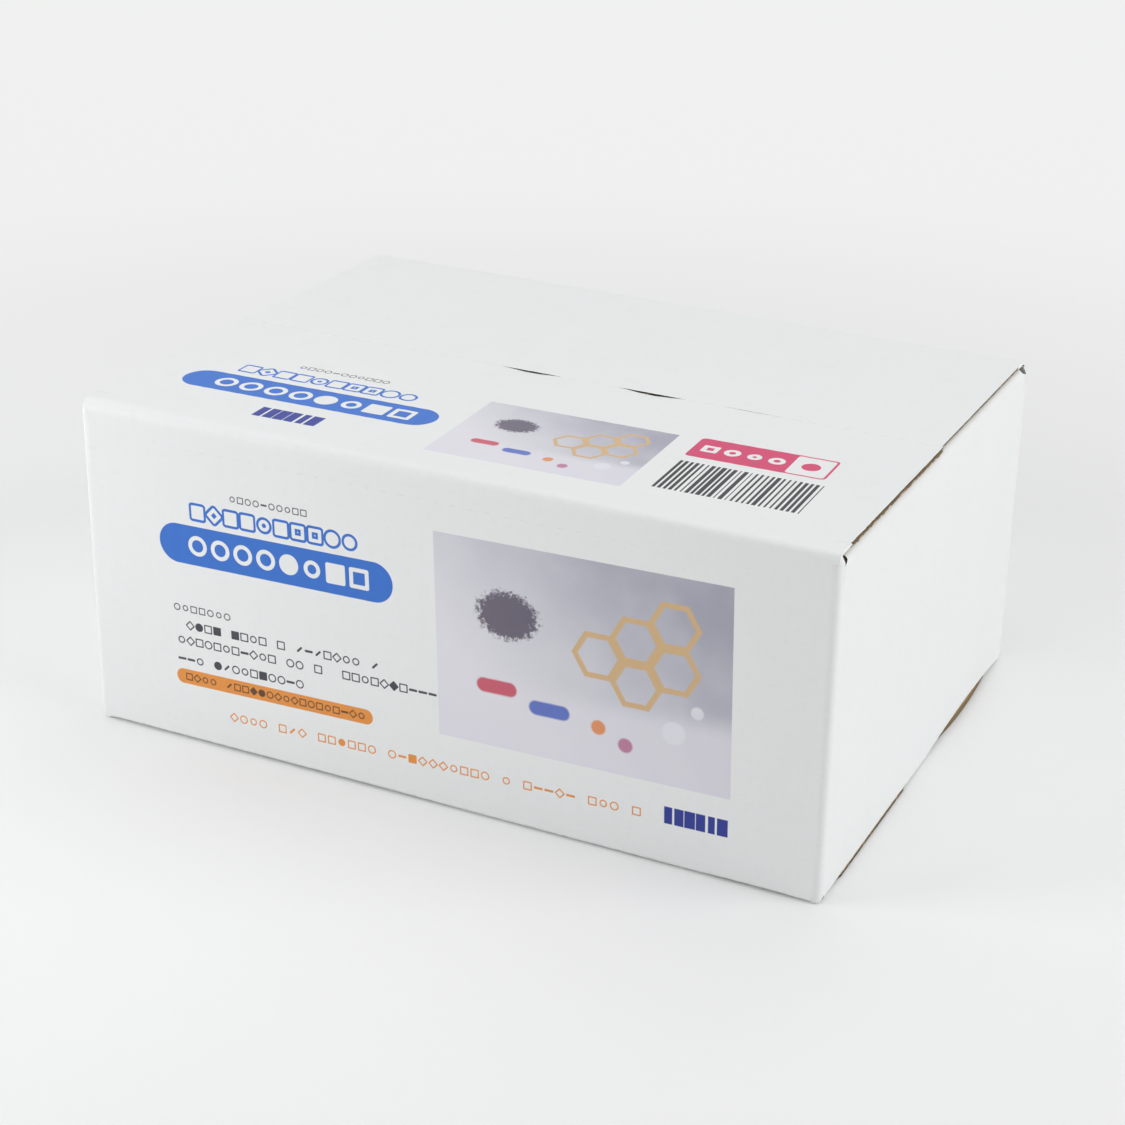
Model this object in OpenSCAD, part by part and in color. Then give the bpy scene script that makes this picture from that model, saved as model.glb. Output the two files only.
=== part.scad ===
// Chemistry set in a folded corrugated carton.
// The carton's long side lies along X, its printed front faces -Y and its base rests on Z = 0.
// The origin is the middle of the base. The set lies inside: a wooden rack on its back with
// six test tubes in it, and round it the beaker, the rods, the brush and the small things.

/* [Carton] */
// Outside width, along the printed front
carton_w = 258; // [252:1:280]
// Outside depth, front to back
carton_d = 186; // [180:1:192]
// Outside height with every flap closed
carton_h = 114; // [113:1:130]
// Thickness of the single-wall corrugated board, which is also its outer fold radius
board_t = 3; // [2.6:0.1:3.4]
// Gap between two layers of folded board, filled by glue where they are glued
fold_gap = 0.3; // [0.2:0.05:0.5]
// Gap between the two outer flaps where they meet
seam_gap = 0.6; // [0.4:0.1:2]
// How far the ends of an outer flap stop short of the side faces
flap_end_inset = 0.8; // [0.4:0.1:2]
// Slot beside an inner flap, between its edge and the long wall
corner_slot = 3; // [2.5:0.5:6]

/* [Carton joint] */
// Width of the tab that joins the blank into a tube
tab_w = 35; // [25:1:45]
// How far the tab stops short of the inner flaps above and below it
tab_end_gap = 6; // [4:0.5:12]
// Slope cut off each end of the tab along its free edge
tab_taper = 10; // [4:1:20]
// Width of a line of hot-melt glue
glue_w = 8; // [5:1:12]
// Length of a line of glue under a bottom flap
glue_len = 64; // [40:1:70]

/* [Rack] */
// Width over the two posts
rack_w = 205; // [200:1:215]
// Play between the test tubes that lie in the window and the shelf
window_play = 5.95; // [2:0.05:9]
// Depth, front to back
rack_depth = 58; // [50:1:62]
// Thickness of the base board
rack_base_t = 10; // [8:0.5:12]
// Thickness of a post
rack_post_t = 12; // [9:0.5:14]
// Thickness of the shelf
rack_shelf_t = 8; // [6:0.5:10]
// How far the posts stand above the shelf
post_proud = 8; // [4:0.5:9]
// Depth of the groove in a post that holds the end of the shelf
housing_depth = 3; // [2:0.5:5]
// Distance from one hole to the next
hole_pitch = 28; // [24:0.5:30]
// How much wider a hole is than a test tube
hole_play = 2.5; // [1:0.25:4]
// Distance of the row of holes from the rack's back
hole_line = 36; // [20:1:38]
// Diameter of a drying peg
peg_d = 8; // [6:0.5:10]
// Height of a peg above the base board
peg_len = 50; // [48:1:60]
// Depth of a peg's hole in the base board
peg_seat = 7; // [4:0.5:8]
// Distance of the row of pegs from the rack's back
peg_line = 14; // [8:1:16]

/* [Test tubes] */
// Outer diameter
tube_d = 16.5; // [15:0.25:17.5]
// Length over all
tube_len = 165; // [150:1:172]
// Wall thickness
tube_wall = 1.2; // [0.8:0.1:1.6]
// How far the lip stands out from the wall
tube_lip = 0.75; // [0.4:0.05:1]
// Length of the lip
tube_lip_len = 3; // [1.5:0.5:5]

/* [Beaker] */
// Outer diameter of the body
beaker_d = 66; // [60:1:70]
// Height
beaker_h = 90; // [80:1:96]
// Wall thickness
beaker_wall = 1.6; // [1.2:0.1:2]
// How far the rim stands out from the wall
beaker_rim = 2; // [1:0.25:3]
// Height of the rim
beaker_rim_h = 3; // [2:0.5:5]
// Outer radius of the pouring spout
spout_r = 6.5; // [5:0.5:8]
// How far the spout leans out from upright, in degrees
spout_lean = 40; // [30:1:45]

/* [Rods] */
// Diameter of the thermometer
thermometer_d = 6.5; // [5:0.25:7.5]
// Length of the thermometer
thermometer_len = 200; // [190:1:205]
// Diameter of its fluid column
column_d = 1; // [0.6:0.1:1.5]
// Length of its fluid column
column_len = 120; // [40:1:170]
// Diameter of the stirring rod
rod_d = 6; // [5:0.25:7]
// Length of the stirring rod
rod_len = 200; // [190:1:205]

/* [Brush] */
// Length over all
brush_len = 170; // [150:1:176]
// Diameter of the bristles
bristle_d = 28; // [22:1:30]
// Length of the bristled part
bristle_len = 55; // [40:1:70]
// Diameter of the twisted wire
wire_d = 2; // [1.6:0.1:3]
// Outer diameter of the loop at the end of the handle
loop_d = 16; // [12:1:20]

/* [Dropper] */
// Length over all
dropper_len = 165; // [150:1:176]
// Diameter of the stem
stem_d = 8; // [6:0.5:9]
// Diameter of the bulb
bulb_d = 18; // [14:0.5:20]
// Length of the bulb
bulb_len = 45; // [35:1:55]
// Outer diameter of the tip
tip_d = 4; // [3:0.25:5]
// Length of the tapered tip
tip_len = 35; // [20:1:50]
// Wall thickness
dropper_wall = 0.8; // [0.6:0.1:1.2]

/* [Indicator bottle] */
// Diameter of the bottle
bottle_d = 20; // [18:0.5:24]
// Height of the bottle to the foot of its neck
bottle_h = 36; // [30:1:44]
// Height of the sloping shoulder
shoulder_h = 4; // [3:0.5:6]
// Diameter of the neck
neck_d = 11; // [10:0.5:13]
// Height of the neck
neck_h = 10; // [8:0.5:14]
// Wall thickness of the bottle
bottle_wall = 1; // [0.8:0.1:1.5]
// Depth of the solution in the bottle
solution_h = 26; // [10:1:28]
// Height of the paper label
label_h = 20; // [12:1:26]
// Height of the nozzle above its flange
nozzle_h = 13; // [9:0.5:16]
// Diameter of the cap's skirt
cap_d = 16; // [15:0.5:18]
// Diameter of the cap's tip
cap_tip_d = 7; // [6:0.5:9]
// Running gap between the cap and the neck
cap_play = 0.3; // [0.2:0.05:0.5]

/* [Litmus packs] */
// Length of a pack
pack_len = 50; // [40:1:60]
// Width of a pack
pack_w = 14; // [10:1:18]
// Thickness of a pack
pack_t = 9; // [6:0.5:12]
// Thickness of the folded card cover
pack_card_t = 0.8; // [0.5:0.1:1.2]

/* [Leaflet] */
// Length of the folded leaflet
leaflet_w = 210; // [180:1:220]
// Gap between the top of the standing leaflet and the outer flaps
leaflet_gap = 5.7; // [4:0.1:15]
// Thickness of the folded leaflet
leaflet_t = 2; // [1:0.25:2.25]

/* [Clearances] */
// Gap between a loose thing and what it lies on or beside
seat_gap = 0.3; // [0.2:0.05:0.5]
// Radial gap of a glued peg, plug or label
glued_fit = 0.05; // [0.03:0.01:0.1]

/* [Hidden] */
$fn = 64;

// Walls and layers of the carton
in_x = carton_w / 2 - board_t;
in_y = carton_d / 2 - board_t;
floor_z = 2 * board_t + fold_gap;
lid_z = carton_h - board_t;
inner_lid_z = lid_z - fold_gap - board_t;
flap_len = (carton_d - seam_gap) / 2;
flap_tip_x = carton_w / 2 - flap_len;
flap_half_w = in_y - corner_slot;
outer_flap_w = carton_w - 2 * flap_end_inset;

// Rack, lying on its back against the rear wall
rack_y = in_y - seat_gap;
base_y = rack_y - rack_base_t;
rack_top_z = floor_z + rack_depth;
post_x = rack_w / 2 - rack_post_t;
hole_d = tube_d + hole_play;
hole_count = 6;

// Test tubes in the rack, three on the pegs and three in the hollows between those
tube_pitch = tube_d + 2 * tube_lip + seat_gap;
row_count = hole_count / 2;
shelf_z = rack_base_t + (row_count + 0.5) * tube_pitch + window_play;
rack_h = shelf_z + rack_shelf_t + post_proud;
low_tube_z = floor_z + peg_line + peg_d / 2 + seat_gap + tube_d / 2;
high_tube_z = low_tube_z + tube_pitch * sin(60);

// Rods across the tops of the posts
rod_y = base_y - rod_d;
thermometer_y = rod_y - rod_d / 2 - thermometer_d / 2 - 1;
column_start = 5;

// Brush and dropper in the hollows between the upper tubes
dropper_y = tube_y(row_count + 2) + tube_pitch / 2;
dropper_z = cradle_z(bulb_d);
brush_y = tube_y(row_count + 3) + tube_pitch / 2;
brush_z = cradle_z(bristle_d);
bristle_x = -35;

// Beaker between the tips of the inner flaps, close behind the leaflet
beaker_y = -in_y + 2 * seat_gap + leaflet_t + beaker_d / 2 + beaker_rim;
spout_drop = 9;

// Bottle and litmus packs in front of the rack, on the right
bottle_x = in_x - bottle_d;
bottle_y = -in_y + leaflet_t + bottle_d;
neck_top = bottle_h + neck_h;
neck_wall = bottle_wall + 0.3;
flange_t = 1.2;
nozzle_tip_z = neck_top + flange_t + nozzle_h;
nozzle_tip_r = 1.2;
nozzle_bore_r = 0.4;
seal_t = 1.5;
seal_r = nozzle_tip_r + 0.7;
cap_wall = 1.2;
cap_foot_z = bottle_h + 1.5;
cap_top_z = nozzle_tip_z + cap_play + seal_t + cap_wall;
label_t = 0.15;
label_z = 5;
solution_play = 0.1;
litmus_gap = 4;
litmus_x = beaker_d / 2 + beaker_rim + litmus_gap;
litmus_y = bottle_y + bottle_d / 2 + litmus_gap;
leaflet_h = lid_z - leaflet_gap - floor_z;

white_board = [0.93, 0.94, 0.95];
kraft_board = [0.72, 0.56, 0.38];
glue_amber = [0.85, 0.75, 0.5];
pale_wood = [0.86, 0.72, 0.5];
peg_wood = [0.72, 0.45, 0.28];
clear_glass = [0.82, 0.9, 0.92, 0.45];
milky_plastic = [0.93, 0.94, 0.93, 0.8];

// Y of the middle of a test tube, counted from 1
function tube_y(i) =
    base_y - tube_pitch * (0.5 + (i <= row_count ? i - 1 : i - row_count - 0.5));

// Z of the middle of a test tube
function tube_z(i) = i <= row_count ? low_tube_z : high_tube_z;

// Z of a round thing of diameter d that lies in the hollow between two upper tubes
function cradle_z(d) =
    high_tube_z + sqrt(pow((tube_d + d) / 2 + seat_gap, 2) - pow(tube_pitch / 2, 2));

// A box given by its two opposite corners
module block(low, high) {
    translate(low) cube(high - low);
}

// Quarter disc in the lower left quadrant, the section of a fold
module fold_section() {
    intersection() {
        circle(r = board_t);
        translate([-board_t, -board_t]) square(board_t);
    }
}

// Extrudes a section drawn in Y and Z along X, about the middle
module along_x(length) {
    rotate([90, 0, 90]) linear_extrude(height = length, center = true) children();
}

// Extrudes a section drawn in X and Z along Y, about the middle
module along_y(length) {
    rotate([90, 0, 0]) linear_extrude(height = length, center = true) children();
}

// Turns a piece made upright so that it lies along X, its top towards +X
module lie_along_x(y, z) {
    translate([0, y, z]) rotate([0, 90, 0]) children();
}

// Puts a piece made for the left or for the front on the other side
module on_right() { mirror([1, 0, 0]) children(); }
module at_rear() { mirror([0, 1, 0]) children(); }

// Front wall, with a fold at each end and one along its foot
module long_wall() {
    intersection() {
        linear_extrude(height = lid_z - fold_gap) {
            translate([-in_x, -carton_d / 2]) square([2 * in_x, board_t]);
            translate([-in_x, -in_y]) fold_section();
            translate([in_x, -in_y]) mirror([1, 0]) fold_section();
        }
        along_x(carton_w) {
            translate([-carton_d / 2, board_t]) square([board_t, carton_h]);
            translate([-in_y, board_t]) fold_section();
        }
    }
}

// Left wall, with a fold at its head and one at its foot
module short_wall() {
    along_y(2 * in_y) {
        translate([-carton_w / 2, floor_z]) square([board_t, inner_lid_z - floor_z]);
        translate([-in_x, floor_z]) fold_section();
        translate([-in_x, inner_lid_z]) mirror([0, 1]) fold_section();
    }
}

module front_panel() { color(white_board) long_wall(); }
module rear_panel() { color(white_board) at_rear() long_wall(); }
module left_panel() { color(white_board) short_wall(); }
module right_panel() { color(white_board) on_right() short_wall(); }

// Tab of the rear wall, glued inside the left wall
module joint_tab() {
    low = floor_z + tab_end_gap;
    high = inner_lid_z - tab_end_gap;
    color(kraft_board) translate([-in_x + fold_gap + board_t / 2, in_y, 0])
        rotate([90, 0, 90]) linear_extrude(height = board_t, center = true)
            polygon([[0, low], [0, high], [-tab_w, high - tab_taper], [-tab_w, low + tab_taper]]);
}

module joint_glue() {
    color(glue_amber)
        for (line_y = [in_y - tab_w / 4, in_y - 3 * tab_w / 4])
            block([-in_x, line_y - glue_w / 2, floor_z + tab_end_gap + tab_taper],
                  [-in_x + fold_gap, line_y + glue_w / 2, inner_lid_z - tab_end_gap - tab_taper]);
}

// Outer flap of the bottom, folded in from the front wall
module outer_bottom_flap() {
    block([-outer_flap_w / 2, -in_y, 0], [outer_flap_w / 2, -seam_gap / 2, board_t]);
}

// Inner flap of the bottom, folded in from the left wall
module inner_bottom_flap() {
    block([-in_x, -flap_half_w, board_t + fold_gap], [-flap_tip_x, flap_half_w, floor_z]);
}

module bottom_front_flap() { color(white_board) outer_bottom_flap(); }
module bottom_rear_flap() { color(white_board) at_rear() outer_bottom_flap(); }
module bottom_left_flap() { color(kraft_board) inner_bottom_flap(); }
module bottom_right_flap() { color(kraft_board) on_right() inner_bottom_flap(); }

// Eight lines of glue, two between each inner and each outer bottom flap
module bottom_glue() {
    middle_x = (in_x + flap_tip_x) / 2;
    color(glue_amber)
        for (side = [-1, 1], line_y = [-3, -1, 1, 3] * in_y / 4)
            translate([side * middle_x, line_y, board_t + fold_gap / 2])
                cube([glue_len, glue_w, fold_gap], center = true);
}

// Outer flap of the top, with the fold that joins it to the front wall
module outer_flap() {
    along_x(outer_flap_w) {
        translate([-in_y, lid_z]) square([in_y - seam_gap / 2, board_t]);
        translate([-in_y, lid_z]) mirror([0, 1]) fold_section();
    }
}

// Inner flap of the top, hinged at the head of the left wall
module inner_flap() {
    block([-in_x + fold_gap, -flap_half_w, inner_lid_z],
          [-flap_tip_x, flap_half_w, inner_lid_z + board_t]);
}

module front_flap() { color(white_board) outer_flap(); }
module rear_flap() { color(white_board) at_rear() outer_flap(); }
module left_flap() { color(kraft_board) inner_flap(); }
module right_flap() { color(kraft_board) on_right() inner_flap(); }

// Lays the rack on its back: its own frame has its base on Z = 0 and its back on Y = 0
module lay_rack() {
    translate([0, rack_y, floor_z]) rotate([90, 0, 0]) children();
}

// X of a hole and of the peg below it, counted from 1
function hole_x(i) = (i - (hole_count + 1) / 2) * hole_pitch;

module rack_base() {
    color(pale_wood) lay_rack() difference() {
        block([-rack_w / 2, 0, 0], [rack_w / 2, rack_depth, rack_base_t]);
        for (i = [1:hole_count])
            translate([hole_x(i), peg_line, rack_base_t - peg_seat])
                cylinder(d = peg_d + 2 * glued_fit, h = peg_seat + 1);
    }
}

module rack_shelf() {
    color(pale_wood) lay_rack() difference() {
        block([-post_x - housing_depth, 0, shelf_z],
              [post_x + housing_depth, rack_depth, shelf_z + rack_shelf_t]);
        for (i = [1:hole_count])
            translate([hole_x(i), hole_line, shelf_z - 1])
                cylinder(d = hole_d, h = rack_shelf_t + 2);
    }
}

// Left post, grooved for the end of the shelf
module rack_post() {
    lay_rack() difference() {
        block([-rack_w / 2, 0, rack_base_t], [-post_x, rack_depth, rack_h]);
        block([-post_x - housing_depth, -1, shelf_z],
              [-post_x + 1, rack_depth + 1, shelf_z + rack_shelf_t]);
    }
}

module rack_left_post() { color(pale_wood) rack_post(); }
module rack_right_post() { color(pale_wood) on_right() rack_post(); }

// Drying peg, counted from 1, with its foot in the base board and a rounded tip
module rack_peg(i) {
    color(peg_wood) lay_rack() translate([hole_x(i), peg_line, rack_base_t - peg_seat]) {
        cylinder(d = peg_d, h = peg_seat + peg_len - peg_d / 2);
        translate([0, 0, peg_seat + peg_len - peg_d / 2]) sphere(d = peg_d);
    }
}

// Test tube, counted from 1, its mouth towards -X
module test_tube(i) {
    bore_r = tube_d / 2 - tube_wall;
    color(clear_glass) lie_along_x(tube_y(i), tube_z(i)) translate([0, 0, -tube_len / 2])
        difference() {
            union() {
                cylinder(d = tube_d, h = tube_len - tube_d / 2);
                translate([0, 0, tube_len - tube_d / 2]) sphere(d = tube_d);
                cylinder(d = tube_d + 2 * tube_lip, h = tube_lip_len);
            }
            translate([0, 0, -1]) cylinder(r = bore_r, h = tube_len - tube_d / 2 + 1);
            translate([0, 0, tube_len - tube_d / 2]) sphere(r = bore_r);
        }
}

// Cylinder leaning back that shapes the spout, inside and out
module spout_core(r) {
    translate([0, beaker_d / 2 - beaker_wall - r, beaker_h - spout_drop])
        rotate([-spout_lean, 0, 0]) cylinder(r = r, h = 3 * spout_drop);
}

module beaker() {
    color(clear_glass) translate([0, beaker_y, board_t]) difference() {
        union() {
            cylinder(d = beaker_d, h = beaker_h);
            translate([0, 0, beaker_h - beaker_rim_h])
                cylinder(d = beaker_d + 2 * beaker_rim, h = beaker_rim_h);
            intersection() {
                spout_core(spout_r);
                cylinder(d = 2 * beaker_d, h = beaker_h);
            }
        }
        translate([0, 0, beaker_wall]) cylinder(d = beaker_d - 2 * beaker_wall, h = beaker_h);
        spout_core(spout_r - beaker_wall);
    }
}

// Glass stem with its bulb at the left and a bore for the fluid
module thermometer() {
    color(clear_glass) lie_along_x(thermometer_y, rack_top_z + seat_gap + thermometer_d / 2)
        difference() {
            round_rod(thermometer_d, thermometer_len);
            translate([0, 0, column_start - thermometer_len / 2])
                column_shape(glued_fit);
        }
}

module thermometer_column() {
    color([0.8, 0.1, 0.1])
        lie_along_x(thermometer_y, rack_top_z + seat_gap + thermometer_d / 2)
            translate([0, 0, column_start - thermometer_len / 2]) column_shape(0);
}

// Fluid in its reservoir and in the bore above it, grown by a gap
module column_shape(gap) {
    reservoir_len = 12;
    translate([0, 0, -gap]) cylinder(d = thermometer_d / 2 + 2 * gap, h = reservoir_len + 2 * gap);
    cylinder(d = column_d + 2 * gap, h = column_len + gap);
}

// Rod along Z about the middle, with round ends
module round_rod(d, length) {
    cylinder(d = d, h = length - d, center = true);
    for (end = [-1, 1]) translate([0, 0, end * (length - d) / 2]) sphere(d = d);
}

module stirring_rod() {
    color(clear_glass) lie_along_x(rod_y, rack_top_z + seat_gap + rod_d / 2)
        round_rod(rod_d, rod_len);
}

// Twisted wire with a loop at its left end
module brush_wire() {
    loop_r = (loop_d - wire_d) / 2;
    color("silver") translate([-brush_len / 2, brush_y, brush_z]) {
        translate([loop_d - wire_d, 0, 0])
            rotate([0, 90, 0]) cylinder(d = wire_d, h = brush_len - loop_d + wire_d);
        translate([loop_d / 2, 0, 0]) rotate_extrude() translate([loop_r, 0]) circle(d = wire_d);
    }
}

module brush_bristles() {
    color([0.16, 0.12, 0.18]) translate([bristle_x, brush_y, brush_z]) rotate([0, 90, 0])
        difference() {
            cylinder(d = bristle_d, h = bristle_len);
            translate([0, 0, -1]) cylinder(d = wire_d + 2 * glued_fit, h = bristle_len + 2);
        }
}

// Section of the dropper from its tip to its bulb, drawn in by a wall
module dropper_section(wall) {
    bulb_foot = dropper_len - bulb_len;
    neck = bulb_foot - bulb_d / 3;
    polygon([
        [0, wall > 0 ? -1 : 0], [tip_d / 2 - wall, wall > 0 ? -1 : 0],
        [stem_d / 2 - wall, tip_len], [stem_d / 2 - wall, neck],
        [bulb_d / 2 - wall, bulb_foot + wall], [bulb_d / 2 - wall, dropper_len - bulb_d / 2],
        [0, dropper_len - bulb_d / 2]
    ]);
    translate([0, dropper_len - bulb_d / 2]) intersection() {
        circle(r = bulb_d / 2 - wall);
        square(bulb_d);
    }
}

module dropper() {
    color(milky_plastic) lie_along_x(dropper_y, dropper_z) translate([0, 0, -dropper_len / 2])
        difference() {
            rotate_extrude() dropper_section(0);
            rotate_extrude() dropper_section(dropper_wall);
        }
}

// Puts a piece made about Z on the spot of the bottle
module at_bottle() {
    translate([bottle_x, bottle_y, floor_z]) children();
}

module bottle() {
    r = bottle_d / 2;
    neck_r = neck_d / 2;
    color(milky_plastic) at_bottle() rotate_extrude() polygon([
        [0, 0], [r, 0], [r, bottle_h - shoulder_h], [neck_r, bottle_h], [neck_r, neck_top],
        [neck_r - neck_wall, neck_top], [neck_r - neck_wall, bottle_h - bottle_wall],
        [r - bottle_wall, bottle_h - shoulder_h - bottle_wall], [r - bottle_wall, bottle_wall],
        [0, bottle_wall]
    ]);
}

module bottle_label() {
    color("white") at_bottle() translate([0, 0, label_z]) difference() {
        cylinder(d = bottle_d + 2 * (glued_fit + label_t), h = label_h);
        translate([0, 0, -1]) cylinder(d = bottle_d + 2 * glued_fit, h = label_h + 2);
    }
}

module indicator_solution() {
    color([0.15, 0.3, 0.2, 0.9]) at_bottle() translate([0, 0, bottle_wall])
        cylinder(d = bottle_d - 2 * (bottle_wall + solution_play), h = solution_h);
}

// Plug in the neck with a flange and a fine nozzle
module bottle_nozzle() {
    plug_r = neck_d / 2 - neck_wall - glued_fit;
    color(milky_plastic) at_bottle() rotate_extrude() polygon([
        [nozzle_bore_r, bottle_h], [plug_r, bottle_h], [plug_r, neck_top],
        [neck_d / 2 - 0.2, neck_top], [neck_d / 2 - 0.2, neck_top + flange_t],
        [neck_d / 4, neck_top + flange_t], [nozzle_tip_r, nozzle_tip_z],
        [nozzle_bore_r, nozzle_tip_z]
    ]);
}

// Screw cap, hollow over the neck and the nozzle, with a pocket for the seal in its tip
module bottle_cap() {
    skirt_r = neck_d / 2 + cap_play;
    skirt_top = neck_top + flange_t + cap_play;
    seal_foot = nozzle_tip_z + cap_play;
    color("darkorange") at_bottle() rotate_extrude() polygon([
        [skirt_r, cap_foot_z], [cap_d / 2, cap_foot_z], [cap_d / 2, skirt_top],
        [cap_tip_d / 2, cap_top_z], [0, cap_top_z], [0, cap_top_z - cap_wall],
        [seal_r + glued_fit, cap_top_z - cap_wall], [seal_r + glued_fit, seal_foot],
        [skirt_r, skirt_top]
    ]);
}

module cap_seal() {
    color("white") at_bottle() translate([0, 0, nozzle_tip_z + cap_play])
        cylinder(r = seal_r, h = seal_t);
}

// Puts a pack on the floor: row 0 is the front one
module at_pack(row) {
    translate([litmus_x, litmus_y + row * (pack_w + litmus_gap), floor_z]) children();
}

// Card folded round the strips, open at its ends and along its front edge
module litmus_cover(row) {
    at_pack(row) difference() {
        cube([pack_len, pack_w, pack_t]);
        block([-1, -1, pack_card_t], [pack_len + 1, pack_w - pack_card_t, pack_t - pack_card_t]);
    }
}

module litmus_strips(row) {
    at_pack(row) block([1, 0.5, pack_card_t],
                       [pack_len - 1, pack_w - pack_card_t, pack_t - pack_card_t]);
}

module red_litmus_cover() { color([0.8, 0.12, 0.3]) litmus_cover(0); }
module red_litmus_strips() { color([0.9, 0.6, 0.65]) litmus_strips(0); }
module blue_litmus_cover() { color([0.1, 0.35, 0.8]) litmus_cover(1); }
module blue_litmus_strips() { color([0.6, 0.65, 0.85]) litmus_strips(1); }

// Folded sheet standing on its long edge behind the front wall
module instruction_leaflet() {
    color("ivory") block([-leaflet_w / 2, -in_y + seat_gap, floor_z],
                         [leaflet_w / 2, -in_y + seat_gap + leaflet_t, floor_z + leaflet_h]);
}

front_panel();
rear_panel();
left_panel();
right_panel();
joint_tab();
joint_glue();
bottom_front_flap();
bottom_rear_flap();
bottom_left_flap();
bottom_right_flap();
bottom_glue();
front_flap();
rear_flap();
left_flap();
right_flap();
rack_base();
rack_shelf();
rack_left_post();
rack_right_post();
rack_peg(1);  // rack_peg_1
rack_peg(2);  // rack_peg_2
rack_peg(3);  // rack_peg_3
rack_peg(4);  // rack_peg_4
rack_peg(5);  // rack_peg_5
rack_peg(6);  // rack_peg_6
test_tube(1);  // test_tube_1
test_tube(2);  // test_tube_2
test_tube(3);  // test_tube_3
test_tube(4);  // test_tube_4
test_tube(5);  // test_tube_5
test_tube(6);  // test_tube_6
beaker();
thermometer();
thermometer_column();
stirring_rod();
brush_wire();
brush_bristles();
dropper();
bottle();
bottle_label();
indicator_solution();
bottle_nozzle();
bottle_cap();
cap_seal();
red_litmus_cover();
red_litmus_strips();
blue_litmus_cover();
blue_litmus_strips();
instruction_leaflet();
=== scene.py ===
"""Chemistry set in a folded corrugated carton: its looks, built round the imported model.

Each operator makes one piece or one group of like pieces. Sizes and colours are properties of
the scene. Inside the script lengths are in millimetres until they become mesh coordinates.
"""

import math
import random

import bmesh
import bpy
from bpy.props import FloatProperty, FloatVectorProperty, IntProperty, PointerProperty
from mathutils import Matrix, Vector


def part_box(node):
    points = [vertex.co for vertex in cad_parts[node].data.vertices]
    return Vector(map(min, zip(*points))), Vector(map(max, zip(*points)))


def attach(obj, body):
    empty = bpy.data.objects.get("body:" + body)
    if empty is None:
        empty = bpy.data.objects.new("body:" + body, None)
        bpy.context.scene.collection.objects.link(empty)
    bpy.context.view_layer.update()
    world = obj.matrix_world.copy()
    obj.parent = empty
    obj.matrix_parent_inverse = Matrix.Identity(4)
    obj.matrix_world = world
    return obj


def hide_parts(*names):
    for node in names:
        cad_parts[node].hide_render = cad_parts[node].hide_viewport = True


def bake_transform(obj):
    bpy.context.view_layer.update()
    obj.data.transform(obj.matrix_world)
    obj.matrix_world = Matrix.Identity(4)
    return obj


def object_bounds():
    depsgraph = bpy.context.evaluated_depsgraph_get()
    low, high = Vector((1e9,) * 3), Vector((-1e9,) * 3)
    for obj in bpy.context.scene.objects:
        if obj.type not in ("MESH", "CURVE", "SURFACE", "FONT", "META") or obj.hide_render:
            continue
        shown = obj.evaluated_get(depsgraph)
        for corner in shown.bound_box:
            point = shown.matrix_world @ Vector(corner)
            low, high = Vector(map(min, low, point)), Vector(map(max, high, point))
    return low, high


bl_info = {
    "name": "Chemistry set carton",
    "version": (1, 0, 0),
    "blender": (4, 5, 0),
    "location": "View3D > Sidebar > Chemistry set",
    "description": "Builds a white corrugated carton with a chemistry set inside",
    "category": "Add Mesh",
}

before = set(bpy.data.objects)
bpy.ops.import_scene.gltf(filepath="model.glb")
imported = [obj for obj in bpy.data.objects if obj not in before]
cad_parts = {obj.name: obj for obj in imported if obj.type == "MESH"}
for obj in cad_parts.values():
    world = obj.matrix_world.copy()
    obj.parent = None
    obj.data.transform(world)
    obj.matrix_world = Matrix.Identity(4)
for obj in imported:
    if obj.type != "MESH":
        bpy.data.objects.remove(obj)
CAD_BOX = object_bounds()
MM = 0.001


def edges_mm(node):
    """Lowest and highest corner of a CAD node, in millimetres."""
    low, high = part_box(node)
    return Vector(low) / MM, Vector(high) / MM


def screen_colour(red, green, blue):
    """A colour as read on a screen, 0 to 255, in the linear values that Blender keeps."""
    return tuple(
        c / 255 / 12.92 if c < 10.3 else ((c / 255 + 0.055) / 1.055) ** 2.4
        for c in (red, green, blue)
    )


# Sizes and colours


def length(name, description, millimetres):
    """A length property whose default is given in millimetres."""
    return FloatProperty(
        name=name, description=description, default=millimetres * MM, unit="LENGTH", precision=5
    )


def strength(name, description, value):
    """A strength that can't be negative."""
    return FloatProperty(name=name, description=description, default=value, min=0)


def angle(name, description, degrees):
    """An angle property whose default is given in degrees."""
    return FloatProperty(
        name=name, description=description, default=math.radians(degrees), subtype="ANGLE"
    )


def colour(name, description, red, green, blue):
    """A colour property whose default is given as read on a screen."""
    return FloatVectorProperty(
        name=name,
        description=description,
        subtype="COLOR",
        size=3,
        min=0,
        max=1,
        default=screen_colour(red, green, blue),
    )


class BoardSizes(bpy.types.PropertyGroup):
    """Sizes of the corrugated board and of its folds and cut edges"""

    pitch: length("Flute pitch", "Distance from one flute to the next", 6.0)
    liner: length("Liner", "Thickness of each liner", 0.3)
    medium: length("Medium", "Thickness of the waved paper between the liners", 0.22)
    ripple: length("Ripple", "How far the outer liner sinks between two flutes", 0.045)
    fold_left: length("Fold radius, left", "Reach of a long top fold at its left end", 5.2)
    fold_right: length("Fold radius, right", "Reach of a long top fold at its right end", 3.8)
    seam_gape: length("Seam gape", "Widest opening of the seam in the middle of the top", 0.45)
    end_crush: FloatProperty(
        name="End crush",
        description="Share of its thickness that a flap has lost at its cut ends",
        default=0.45,
        min=0,
        max=0.8,
        subtype="FACTOR",
    )


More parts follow.
